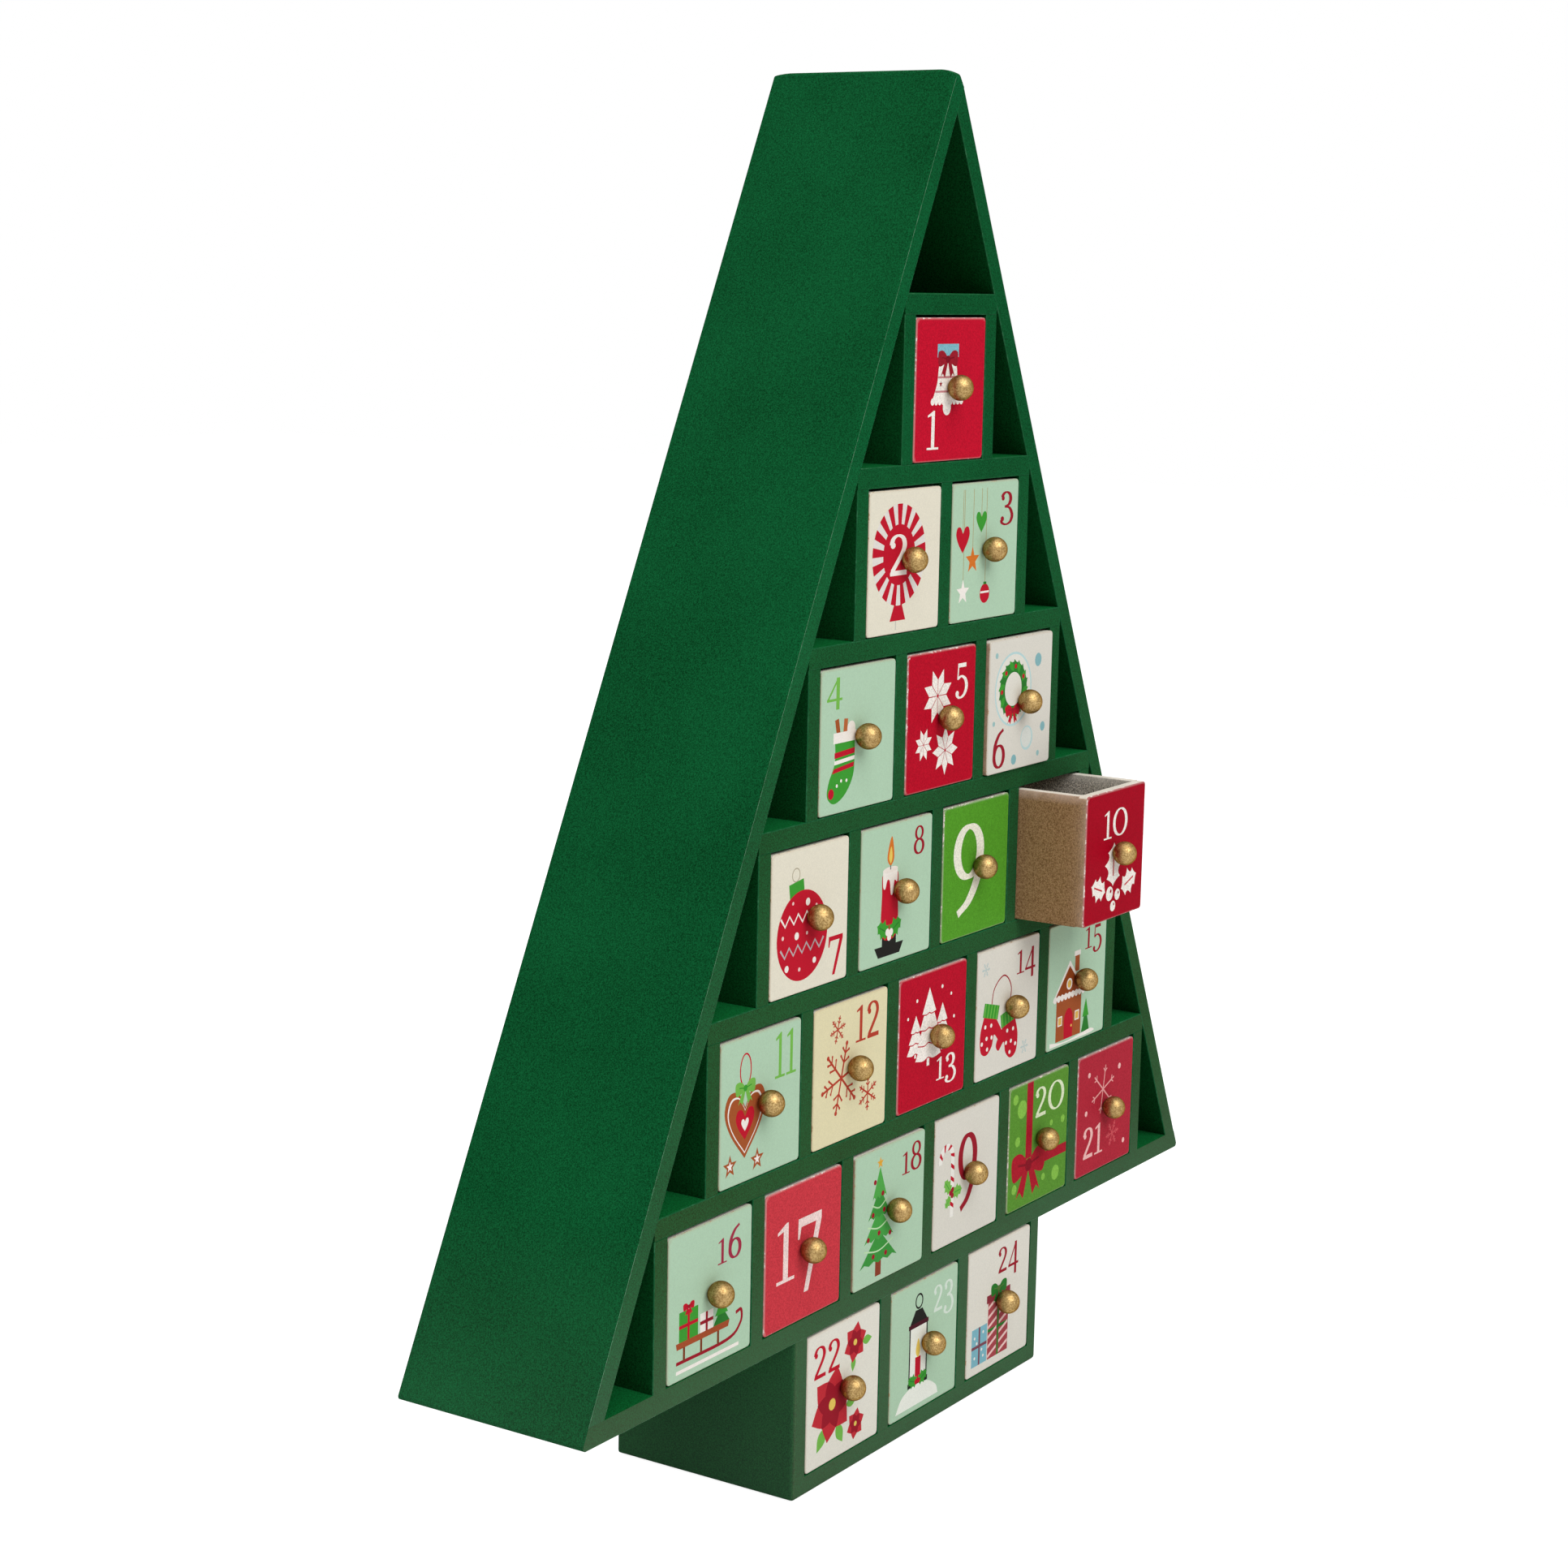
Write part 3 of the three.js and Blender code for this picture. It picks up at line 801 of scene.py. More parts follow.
def bow(x, y, size, ink, shade):
    loop = smooth([(0, 0), (-0.45, 0.42), (-0.95, 0.38), (-1.0, -0.05), (-0.85, -0.36), (-0.4, -0.25)], 5,
                  closed=True)
    tail = np.array([(0.05, 0.0), (-0.28, -0.95), (-0.50, -0.72), (-0.72, -0.90), (-0.25, 0.0)])
    shapes = area(tail, ink) + area(tail[::-1] * (-1, 1), ink)
    shapes += area(loop, ink) + area(loop[::-1] * (-1, 1), ink)
    shapes += pen([(-0.1, 0.02), (-0.62, 0.1)], shade, 0.07) + pen([(0.1, 0.02), (0.62, 0.1)], shade, 0.07)
    shapes += spot(0, 0, 0.2, shade, steps=12)
    return placed(shapes, x, y, size)


def sweet_disc(x, y, r, ink, count):
    """A striped boiled sweet on a stick: wedges round a plain middle."""
    shapes = spot(x, y, r, "e3ddd6", steps=68)
    for k in range(count):
        middle = math.pi / 2 + 2 * math.pi * k / count
        half = math.pi / count * 0.54
        t = np.linspace(middle - half, middle + half, 4)
        rim = np.stack([x + r * np.cos(t), y + r * np.sin(t)], -1)
        root = np.stack([x + 0.5 * r * np.cos(t), y + 0.5 * r * np.sin(t)], -1)[::-1]
        shapes += area(np.vstack([rim, root]), ink)
    return shapes + spot(x, y, r * 0.6, ink, steps=40)


def bell(x, y, size, ink, line):
    """A bell with a scalloped lip."""
    half = smooth([(0.0, 1.0), (0.28, 0.93), (0.42, 0.66), (0.48, 0.3), (0.62, 0.0), (0.74, -0.16)], 6)
    shapes = spot(0, -0.3, 0.19, ink) + area(both_sides(half), ink)
    shapes += dots([(-0.68 + 0.17 * k, -0.16, 0.085) for k in range(9)], ink)
    shapes += pen([(-0.57, 0.08), (0.57, 0.08)], line, 0.05) + pen([(-0.45, 0.42), (0.45, 0.42)], line, 0.05)
    return placed(shapes, x, y, size)


def heart(x, y, size, ink):
    half = smooth([(0, 0.28), (0.18, 0.52), (0.42, 0.52), (0.52, 0.26), (0.36, -0.08), (0, -0.48)], 5)
    outline = np.vstack([half, half[-2:0:-1] * (-1, 1)])
    return placed(area(outline[::-1], ink), x, y, size)


def each(draw, places, *inks):
    """The same motif drawn at several places, each with its own middle, size and turn."""
    return [shape for place in places for shape in draw(*place, *inks)]


def dots(places, ink):
    return [shape for x, y, r in places for shape in spot(x, y, r, ink, steps=16)]


def poinsettia(x, y, r, ink, middle):
    shapes = []
    for k in range(6):
        shapes += plain_leaf(x, y, r, 0.3 + k * math.pi / 3, ink, 0.34)
    for k in range(6):
        shapes += plain_leaf(x, y, r * 0.72, 0.3 + math.pi / 6 + k * math.pi / 3, DEEP_RED, 0.3)
    return shapes + spot(x, y, r * 0.16, middle, steps=12)


def gift(left, low, right, high, paper, ribbon):
    middle = (left + right) / 2
    level = low + (high - low) * 0.5
    shapes = slab(left, low, right, high, paper)
    shapes += slab(middle - 0.5, low, middle + 0.5, high, ribbon)
    return shapes + slab(left, level - 0.5, right, level + 0.5, ribbon)


def print_1():
    art = bell(-1.6, -1.5, 12, WHITE, "c9868a")
    art += slab(-7.6, 9.2, 4.4, 13, BLUE) + bow(-1.6, 8.6, 5.6, DEEP_RED, "7c1322")
    art += five_star(-5.4, 1.6, 1, DEEP_RED) + five_star(2.6, 1.8, 1, DEEP_RED)
    return art + numeral("1", -12.4, -17, -5.9, -5.9, WHITE)


def print_2():
    art = area([(-5, -11.8), (-1.2, -11.8), (1.1, -16.8), (-7.5, -16.8)], RED)
    art += pen([(-4.2, -16.8), (-4.2, -19.4)], "c9c4ba", 0.5)
    art += sweet_disc(-3.05, 2, 14.5, RED, 17)
    return art + numeral("2", -8.4, -3.9, 1.2, 7.8, WHITE)


def print_3():
    art = []
    for x, y in ((-13.2, 6.6), (-7.2, 0.6), (-12.4, -9), (-2.4, 9.5), (0.6, -10.4)):
        art += pen([(x, 18.6), (x, y)], "a89664", 0.28)
    art += heart(-13.2, 3.6, 7.6, RED) + heart(-2.4, 8.4, 6, GREEN)
    art += five_star(-7.2, -2.4, 4.2, ORANGE) + five_star(-12.4, -11.6, 3.8, WHITE)
    art += spot(0.6, -12.8, 2.9, RED) + slab(-0.3, -10.1, 1.5, -9.3, DARK_GREEN)
    art += pen([(-2, -12.4), (3.2, -12.4)], WHITE, 0.6)
    return art + numeral("3", 8.6, 6.8, 16.8, 17, DEEP_RED)


def print_4():
    leg = smooth([(-12, 0.5), (-11.9, -6), (-14.8, -11), (-15.6, -15.2), (-12, -17.6), (-6.4, -15.6),
                  (-2.2, -10.6), (-1.6, -4), (-1.8, 0.5)], 5)
    art = pen([(-9.6, -0.5), (-11.2, 6.2)], BROWN, 2) + pen([(-7, -0.5), (-6.4, 6)], "b9683c", 2)
    art += spot(-3.6, 3, 2.1, WHITE) + area(leg, GREEN)
    art += area([(-12.1, -4.8), (-1.6, -4.2), (-1.5, -2.6), (-12.1, -3.2)], RED)
    art += area([(-12.1, -6.6), (-1.7, -6), (-1.6, -4.9), (-12.1, -5.5)], WHITE)
    art += area([(-13.2, -9), (-2, -8), (-1.8, -6.7), (-12.4, -7.7)], RED)
    art += slab(-12.8, -0.6, -1, 2.4, WHITE)
    art += spot(-13.6, -14.6, 1.5, RED)
    art += dots([(-8.4, -11.4, 0.5), (-5.6, -11.6, 0.5), (-10.6, -12.6, 0.5)], WHITE)
    return art + numeral("4", -16.6, 9, -8.6, 18, LEAF)


def print_5():
    art = petals(-2.3, 7, 8.3, 8, WHITE, math.pi / 8)
    art += petals(-9.7, -6.7, 4.9, 8, WHITE, math.pi / 8) + petals(2.8, -9.7, 7.3, 8, WHITE)
    return art + numeral("5", 8, 4.8, 15.2, 15.4, WHITE)


def print_6():
    x, y = -4.6, 4.6
    art = spot(x, y, 11.4, PALE_BLUE, steps=48) + spot(x, y, 10.7, "e4e1d6", steps=48)
    art += pen(ring_of(x, y, 6.8, 6.8, 40), DARK_GREEN, 3.2, closed=True)
    for k in range(20):
        a = 2 * math.pi * k / 20
        art += plain_leaf(x + 5.6 * math.cos(a), y + 5.6 * math.sin(a), 4.2, a + 0.7,
                          GREEN if k % 2 else DARK_GREEN)
    for k in range(7):
        a = 0.5 + 2 * math.pi * k / 7
        art += spot(x + 7 * math.cos(a), y + 7 * math.sin(a), 0.75, RED, steps=12)
    art += bow(x, y - 6.6, 4.4, RED, DEEP_RED)
    art += dots([(10.7, 12.2, 2.1), (14.7, -9, 1.5), (-3.1, -17.4, 1.6)], "86b4b8")
    art += dots([(-15.3, 15.7, 0.9), (-16.1, -5, 0.8), (12.1, -17.1, 0.9)], "9cc0bf")
    art += spot(4.7, -11.5, 3.8, PALE_BLUE) + spot(4.5, -11.3, 3.2, "dde0d8")
    return art + numeral("6", -16.3, -19, -8.6, -6.8, DEEP_RED)


def print_7():
    x, y = -3.8, -4.3
    art = pen(ring_of(-7.4, 13.2, 1.9, 1.9, 20), "b4aa92", 0.35, closed=True)
    art += placed(slab(-3.7, -2.3, 3.7, 2.3, GREEN), -6.9, 9, turn=0.14)
    art += spot(x, y, 12.8, RED, steps=56)
    k = np.arange(11)
    zigzag = np.stack([x - 10.9 + 2.18 * k, 0.6 + 1.3 * (-1.0) ** k + 0.05 * k], -1)
    art += pen(zigzag, WHITE, 0.75) + pen(zigzag - (0, 8.8), "b9aeb0", 0.75)
    art += dots([(-1.2, 4.8, 1.1), (-6.6, -4.1, 1.1), (4.4, -3.4, 1), (-11.4, -12.6, 1), (2.6, -12.4, 0.9)],
                WHITE)
    art += dots([(-8.7, 5.4, 0.5), (-13.6, -3.6, 0.6), (3.2, 3.2, 0.5), (-1.4, -4, 0.5), (-5, -13.8, 0.6)],
                "f0c9c4")
    return art + numeral("7", 9.8, -18.5, 17.3, -7.3, RED)


def print_8():
    art = area([(-11.5, -15.2), (4.5, -15.2), (2.4, -18.4), (-9.4, -18.4)], BLACK)
    art += slab(-7.4, -15.2, 0.4, -12.4, BLACK)
    art += area(smooth([(-7.6, -12.4), (0.6, -12.4), (0.9, 0), (0.3, 6.4), (-7.3, 6.4), (-7.9, 0)], 4, True),
                RED)
    drips = [(-7.6, 7.2), (-7.4, 2.4), (-6.2, 1.6), (-5.2, 4), (-3.8, 3.6), (-3, -0.4), (-1.8, 0),
             (-1.2, 3.6), (0.4, 3), (0.5, 7.2)]
    art += area(smooth(drips, 3), WHITE) + spot(-3.5, 7, 4.05, "efe6dc", 0.9)
    art += pen([(-3.5, 7), (-3.5, 9.2)], BLACK, 0.4)
    art += area(smooth([(-3.5, 8.2), (-1.6, 10.6), (-3.1, 16.8), (-5.4, 10.8)], 5, True), ORANGE)
    art += area(smooth([(-3.5, 8.8), (-2.6, 10.6), (-3.3, 13.8), (-4.5, 10.8)], 5, True), YELLOW)
    art += each(holly_leaf, [(-3.4, -12, 7.6, 2.7), (-3.6, -12, 7.6, 0.45)], GREEN, DARK_GREEN)
    art += dots([(-4.4, -11.4, 1.1), (-2.4, -11.6, 1.1), (-3.4, -13, 1.1)], WHITE)
    return art + numeral("8", 9.2, 9.2, 15.3, 17.7, DEEP_RED)


def print_9():
    return numeral("9", -13.3, -14.2, 5, 13.9, "ece9d6")


def print_10():
    leaves = [(-0.4, -10.2, 13.8, math.pi / 2), (-5.4, -11.4, 10, 2.82), (5.2, -12, 10.8, 0.34)]
    art = each(holly_leaf, leaves, WHITE, RED)
    for x, y, r in ((-2.5, -12.3, 2.3), (2.8, -13.3, 1.8), (0, -16.6, 1.7)):
        art += spot(x, y, r, WHITE, steps=20) + spot(x + 0.35 * r, y + 0.3 * r, 0.26 * r, DEEP_RED, steps=10)
    return art + numeral("10", -7.7, 5.3, 8, 14.2, WHITE)


def print_11():
    art = pen(ring_of(-7.6, 11, 2.6, 4.6, 24), RED, 0.5, closed=True)
    art += heart(-7.6, -4.6, 19, BROWN) + heart(-7.6, -4.6, 16.2, WHITE) + heart(-7.6, -4.6, 15.2, BROWN)
    art += heart(-7.6, -4.4, 8.6, RED) + heart(-7.6, -4.4, 3.4, WHITE)
    art += bow(-7.6, 6, 4.8, LEAF, GREEN)
    for x, y in ((-14.6, -14.6), (-1.4, -15.4)):
        art += five_star(x, y, 3.4, BROWN) + five_star(x, y, 1.6, WHITE)
    return art + numeral("11", 6.8, 5.3, 17.3, 18.2, LEAF)


def print_12():
    art = snowflake(-7.2, 12.8, 4.1, "b64a38", 0.5, 0.25, knobs=False)
    art += snowflake(-4.8, -1.9, 10.2, "b5402f", 0.75, math.radians(15))
    art += snowflake(9.7, -9.4, 5.2, "b5402f", 0.55, 0.5, knobs=False)
    return art + numeral("12", 2.6, 6.9, 15, 17.7, "b5402f")


def fir(x, low, high, half, skirts, ink, line):
    """A fir of stacked skirts, each no wider than the one below, with a line under every hem."""
    art = area(rectangle(x - 0.1 * half, low - 0.12 * (high - low), x + 0.1 * half, low + 1), ink)
    for k in range(skirts):
        reach = half * (1 - 0.62 * k / skirts)
        foot = low + (high - low) * 0.86 * k / skirts
        tip = foot + (high - low) * (0.62 - 0.3 * k / skirts) if k < skirts - 1 else high
        hem = smooth([(x - reach, foot), (x - 0.4 * reach, foot - 0.09 * reach), (x, foot + 0.02 * reach),
                      (x + 0.4 * reach, foot - 0.09 * reach), (x + reach, foot)], 5)
        art += pen(hem, line, 0.7) + area(np.vstack([hem, [(x, tip)]]), ink)
    return art


def print_13():
    art = fir(5.6, -3.6, 9.4, 5.2, 3, WHITE, RED) + fir(-9.8, -3.4, 8.2, 4.8, 3, WHITE, RED)
    art += fir(-2.2, -6, 15.4, 7.4, 4, WHITE, RED)
    art += dots([(-9.4, 12.6, 0.55), (5.2, 14.4, 0.6), (10.6, 11.2, 0.5), (-14.4, 8, 0.5),
                 (12.6, 3.8, 0.55)], WHITE)
    return art + numeral("13", 2.9, -16.5, 14.7, -7.3, WHITE)


def mitten(x, y, size, turn, mirrored):
    hand = smooth([(-0.42, 0.1), (-0.5, 0.7), (-0.3, 1.25), (0.1, 1.32), (0.38, 1), (0.42, 0.62),
                   (0.8, 0.78), (0.92, 0.5), (0.42, 0.1)], 5)
    flip = np.array([-1 if mirrored else 1, 1])
    order = 1 if mirrored else -1
    art = area((hand * flip)[::order], RED)
    for u, v in ((-0.24, 0.42), (0.14, 0.34), (-0.04, 0.78), (0.28, 0.72), (-0.3, 0.98), (0.1, 1.12)):
        art += spot(u * flip[0], v, 0.07, WHITE, steps=10)
    art += slab(-0.5, -0.34, 0.5, 0.12, GREEN)
    for k in range(5):
        art += pen([(-0.4 + 0.2 * k, -0.34), (-0.4 + 0.2 * k, 0.12)], LEAF, 0.05)
    return placed(art, x, y, size, turn)


def print_14():
    art = pen(smooth([(-10.4, 1.5), (-8.6, 7.6), (-2.6, 10.6), (2, 6), (0.4, -1.4)], 6), DEEP_RED, 0.5)
    art += mitten(-10.6, -0.5, 9.6, math.pi - 0.25, True) + mitten(0.9, -4.2, 9.6, math.pi + 0.2, False)
    for x, y in ((-14.4, 14.4), (11.5, -15)):
        art += snowflake(x, y, 2.4, "b9c7c4", 0.35, knobs=False)
    return art + numeral("14", 5.3, 7, 17.2, 16.8, DEEP_RED)


def print_15():
    art = slab(-1.6, 3, 1.4, 9, BROWN) + slab(-2.2, 8.2, 2, 9.8, WHITE)
    art += slab(-13.6, -18.4, 3.4, -3.4, BROWN)
    art += area([(-16.2, -4.6), (-5.1, 7.4), (6, -4.6)], WHITE)
    art += area([(-14.2, -3.4), (-5.1, 5.6), (4, -3.4)], "93451f")
    art += dots([(-14.6 + 2.4 * k, -4.2, 1.15) for k in range(9)], WHITE)
    art += area(smooth([(-8, -18.4), (-8, -11), (-5.1, -8.4), (-2.2, -11), (-2.2, -18.4)], 4), RED)
    art += spot(-3, -14.6, 0.45, YELLOW, steps=10) + spot(-5.1, -0.4, 1.9, WHITE)
    art += spot(-5.1, -0.4, 1.3, "e0b25a")
    for x in (-12.4, -0.8):
        art += slab(x, -13.4, x + 3, -10.2, WHITE) + slab(x + 0.4, -13, x + 2.6, -10.6, "e0b25a")
    art += area([(4, -18.4), (9.6, -18.4), (6.8, -9.6)], DARK_GREEN)
    art += area([(4.6, -13.4), (9, -13.4), (6.8, -7.2)], GREEN)
    art += area(smooth([(-17.4, -18), (-8, -19.2), (4, -18.6), (10.8, -18.2), (10.8, -19.6), (-17.4, -19.6)],
                       4), WHITE)
    return art + numeral("15", 5, 7, 16.5, 16.3, DEEP_RED)


def print_16():
    art = pen(smooth([(-15.6, -15.4), (8, -15.4), (14.6, -12.4), (15, -8.6), (12.4, -8.8)], 6), DEEP_RED, 1)
    for x in (-12, -4, 4):
        art += pen([(x, -15.4), (x, -11)], "7a3b22", 1)
    art += area([(-15.4, -11.6), (8.8, -11.6), (9.4, -9.8), (-15.8, -9.8)], "a5502f")
    art += gift(-14.4, -9.8, -5.6, -1.4, GREEN, RED) + bow(-10, -0.6, 2.6, RED, DEEP_RED)
    art += gift(-4.6, -9.8, 1.6, -4.4, WHITE, DEEP_RED)
    art += area([(1.6, -9.8), (9.4, -9.8), (5.5, -4.8)], DARK_GREEN)
    art += area([(2.4, -7.2), (8.6, -7.2), (5.5, -2.4)], GREEN)
    art += pen([(-15.6, -18), (14, -18)], WHITE, 1)
    return art + numeral("16", 3.4, 7, 14.7, 16.6, "a03047")


def print_17():
    return numeral("1", -13.6, -7.1, -4.5, 10.2, "f2d9d4") + numeral("7", -2.9, -12.7, 9.3, 9.6, "f2d9d4")


def print_18():
    art = slab(-7.4, -18.6, -4.2, -13.6, "8a3f2c")
    x = -5.7
    k = np.arange(9)
    for low, high, half, ink in ((-14.6, -4.6, 10.4, "3f9440"), (-7.6, 2.4, 8.2, "48a047"),
                                 (-0.8, 8.6, 6.2, "3f9440"), (5, 14.6, 4, "52a84c")):
        hem = np.stack([x - half + half * k / 4, low + 0.9 * (k % 2)], -1)
        art += area([*hem, (x, high)], ink)
    for low, half in ((-9.6, 8), (-2.6, 6.2), (3.6, 4.2)):
        art += pen(smooth([(x - half, low), (x, low - 1.4), (x + half, low + 0.6)], 6), "bfe0b0", 0.45)
    art += dots([(-8.4, 10.4, 0.8), (-4, 6.2, 0.8), (-9.2, 0.6, 0.8), (-3, 1, 0.8), (-11.6, -6.4, 0.8),
                 (-5.6, -5.6, 0.8), (0.6, -7, 0.8), (-8.6, -12.2, 0.8), (-1.6, -12.6, 0.8)], DEEP_RED)
    art += five_star(x, 15.8, 1.9, "e0a63a")
    return art + numeral("18", 6.8, 8.8, 17.9, 17.7, DEEP_RED)


def candy_cane(ink):
    """A striped stick with a hooked top, as a pale band with slanted bars across it."""
    line = np.vstack([ring_of(-12.2, 6.8, 3.7, 4.2, 12, math.pi * 1.05, -math.pi * 1.05),
                      np.linspace((-8.5, 5.4), (-8.5, -12), 14)])
    art = pen(line, "d6d0c8", 2.5) + pen(line, "efece4", 2.1)
    run = np.gradient(line, axis=0)
    run /= np.linalg.norm(run, axis=1, keepdims=True)
    side = np.stack([-run[:, 1], run[:, 0]], -1) * 1.05
    for k in range(1, len(line) - 2, 3):
        art += area([line[k] - side[k], line[k + 1] - side[k + 1], line[k + 2] + side[k + 2],
                     line[k + 1] + side[k + 1]], ink)
    return art


def print_19():
    art = candy_cane(RED)
    art += each(holly_leaf, [(-9.2, -4, 6, 2.3), (-8.6, -4.6, 6.2, 0.05), (-9.2, -5.2, 4.6, 3.9)], LEAF,
                GREEN)
    art += dots([(-9.4, -4.2, 0.9), (-8.2, -3.4, 0.9), (-8.3, -5.2, 0.9)], DEEP_RED)
    return art + numeral("9", -5.2, -12, 6.5, 12.6, DEEP_RED)


def print_20():
    pale = [(-11.2, 12.2, 3), (-15.6, 16.2, 1.7), (-13.6, 2, 1.6), (12.4, -14.2, 2.5), (-15, -13.4, 1.6),
            (4.2, -13.6, 1.2), (16.4, 3, 1.3), (8.6, 3.4, 1)]
    art = dots(pale, "86bd4c")
    art += slab(-8.2, -5, -4.1, 20.4, "a81c2c") + slab(-4.1, -8.7, 20, -5.4, "a81c2c")
    art += bow(-6, -7.2, 11, "ac1c2c", "861524")
    return art + numeral("20", -2.6, 7.2, 16.8, 17, "dfe8c4")


def print_21():
    art = snowflake(-1.5, 6.6, 8.2, "e8a3a2", 0.55, 0.35, knobs=False, barbs=(0.74,))
    art += snowflake(6.3, -10.3, 4.4, "d0545c", 0.5, 0.1, knobs=False)
    art += dots([(-11.7, 13.4, 0.9), (9.9, 12.2, 1), (-13.1, 0.6, 0.9), (14.7, -14.7, 0.9)], "f2b9b6")
    return art + numeral("21", -14.6, -15, -0.6, -4.5, "f0bcb8")


def print_22():
    leaves = [(-9, -9, 8.4, 4.1), (-3.4, -10, 7.6, 5.2), (1.6, -6, 6, 0.1), (5.6, 8.2, 5, 4.6),
              (10, 11, 5.4, 0)]
    art = each(plain_leaf, leaves, LEAF)
    art += each(poinsettia, [(-5.8, -3.4, 11.4), (6.2, 12, 6.2), (7.2, -13.4, 4.8)], "c2303a", YELLOW)
    return art + numeral("22", -16.2, 6.7, -2.2, 16.4, RED)


def print_23():
    art = pen(ring_of(-3.4, 14.2, 2, 2.2, 20), BLACK, 0.6, closed=True)
    art += area([(-5.4, 11.6), (-1.4, 11.6), (1.8, 7.4), (-8.6, 7.4)], BLACK)
    art += slab(-9.2, 6.2, 2.4, 7.6, "4a1c26")
    art += slab(-8.4, -10.8, 1.6, 6.2, "eef0e6")
    art += slab(-5, -10.8, -1.8, -3.4, RED)
    art += area(smooth([(-3.4, -3.6), (-2.2, -1.6), (-3.3, 2.4), (-4.8, -1.4)], 5, True), YELLOW)
    for x in (-8.4, 1.6):
        art += pen([(x, -11), (x, 6.4)], BLACK, 0.7)
    art += slab(-9.2, -12.4, 2.4, -10.8, BLACK)
    art += area(smooth([(-16, -18.6), (-12.4, -14.2), (-6, -12.2), (2, -12.6), (7.6, -15.6), (9, -18.6)], 5),
                "eef0e6")
    art += each(holly_leaf, [(-3.4, -11.6, 6, 2.8), (-3.4, -11.6, 6, 0.35)], GREEN, DARK_GREEN)
    art += dots([(-4.2, -11.2, 0.9), (-2.6, -11.2, 0.9)], RED)
    return art + numeral("23", 5.2, 5.4, 17.4, 16.2, "d9e6d9")


def print_24():
    art = gift(-6.4, -17.6, 6.6, 1.2, "a8474e", DARK_GREEN)
    for k in range(6):
        low = -17.2 + 3.2 * k
        art += area([(-6.2, low), (-0.8, low + 2.2), (-0.8, low + 3.2), (-6.2, low + 1)], "efc9c4")
        art += area([(0.8, low), (6.4, low + 2.2), (6.4, low + 3.2), (0.8, low + 1)], "efc9c4")
    art += slab(-7.4, 1, 7.6, 3.6, "8c3540")
    art += gift(-16.4, -17.6, -6.8, -5.2, BLUE, "7d4a57")
    for x, y in ((-14.6, -8.2), (-9.2, -7.4), (-14.4, -14.8), (-9, -15.2), (-13.2, -10.2), (-10, -13)):
        art += spot(x, y, 0.5, WHITE, steps=10)
    art += bow(0.2, 4.4, 5, DARK_GREEN, "5a7a3c")
    return art + numeral("24", -0.8, 6.6, 12.3, 17.4, DEEP_RED)


PRINTS = [print_1, print_2, print_3, print_4, print_5, print_6, print_7, print_8, print_9, print_10,
          print_11, print_12, print_13, print_14, print_15, print_16, print_17, print_18, print_19,
          print_20, print_21, print_22, print_23, print_24]
GROUNDS = {"front_red": "c2122d", "front_dark_red": "ab1f30", "front_cream": "e6e0cd",
           "front_white": "ddd9ce", "front_mint": "b2d0b4", "front_lime": "54982a", "front_yellow": "e3dab2"}
# Grounds that differ from their slot's ink. On 22 and 24 the paper is whitened as painted light, brighter
# towards the foot, and 17 is paler and pinker as a painted pale veil. 10, 5 and 13 are darker, and 20 and 21
# differ in tone
GROUND_TONE_AND_PAINTED_LIGHT_OF = {5: "b81028", 10: "a40720", 13: "b9112a", 17: "ca3b45", 20: "5b9133", 21: "b02a3a",
             22: "e6e3d7", 24: "e3dfd4"}
DEEP_SLOTS = {"front_red", "front_dark_red", "front_lime"}
SLOT_OF_NODE = {part["node"]: part["material_slot"] for part in frame["record"]["subparts"]}


# Drawers

def rim_points(half_u, half_v, radius, inset):
    """A rounded rectangle, drawn in by inset and anticlockwise, as four quarter circles."""
    corners = [(1, -1, -math.pi / 2), (1, 1, 0.0), (-1, 1, math.pi / 2), (-1, -1, math.pi)]
    return np.vstack([
        arc((u * (half_u - radius), v * (half_v - radius)), radius - inset, turn, turn + math.pi / 2,
            CORNER_STEPS)
        for u, v, turn in corners
    ])


def boundary_loop(points, triangles):
    """The points round a convex sheet, anticlockwise: those of edges that only one triangle has."""
    edges = np.sort(np.stack([triangles, np.roll(triangles, -1, 1)], -1).reshape(-1, 2))
    edges, uses = np.unique(edges, axis=0, return_counts=True)
    loop = np.unique(edges[uses == 1])
    loop = loop[np.argsort(np.arctan2(points[loop, 1], points[loop, 0]))]
    return np.roll(loop, -loop.argmin())


def anticlockwise(points):
    """The outline the right way round, by the sign of the sum of x_i y_(i+1) - x_(i+1) y_i."""
    following = np.roll(points, -1, 0)
    twice_area = (points[:, 0] * following[:, 1] - following[:, 0] * points[:, 1]).sum()
    return points if twice_area > 0 else points[::-1]


def printed_sheet(shapes, rim):
    """Cuts the rim's inside into triangles along the shapes, by a constrained Delaunay cut of all outlines.

    Returns points, triangles, and each one's last covering shape, counted from 1, or 0 where there is none.
    """
    outlines = [rim] + [anticlockwise(points) for points, _ in shapes]
    points = np.vstack(outlines)
    starts = np.cumsum([0] + [len(outline) for outline in outlines])
    polygons = [list(range(a, b)) for a, b in zip(starts[:-1], starts[1:])]
    cut = delaunay_2d_cdt(points.tolist(), [], polygons, 1, 1e-5, True)
    points, triangles, covers = cut[0], cut[2], cut[5]
    triangles, topmost = zip(*[(t, max(cover)) for t, cover in zip(triangles, covers) if 0 in cover])
    return np.array(points), np.array(triangles), topmost


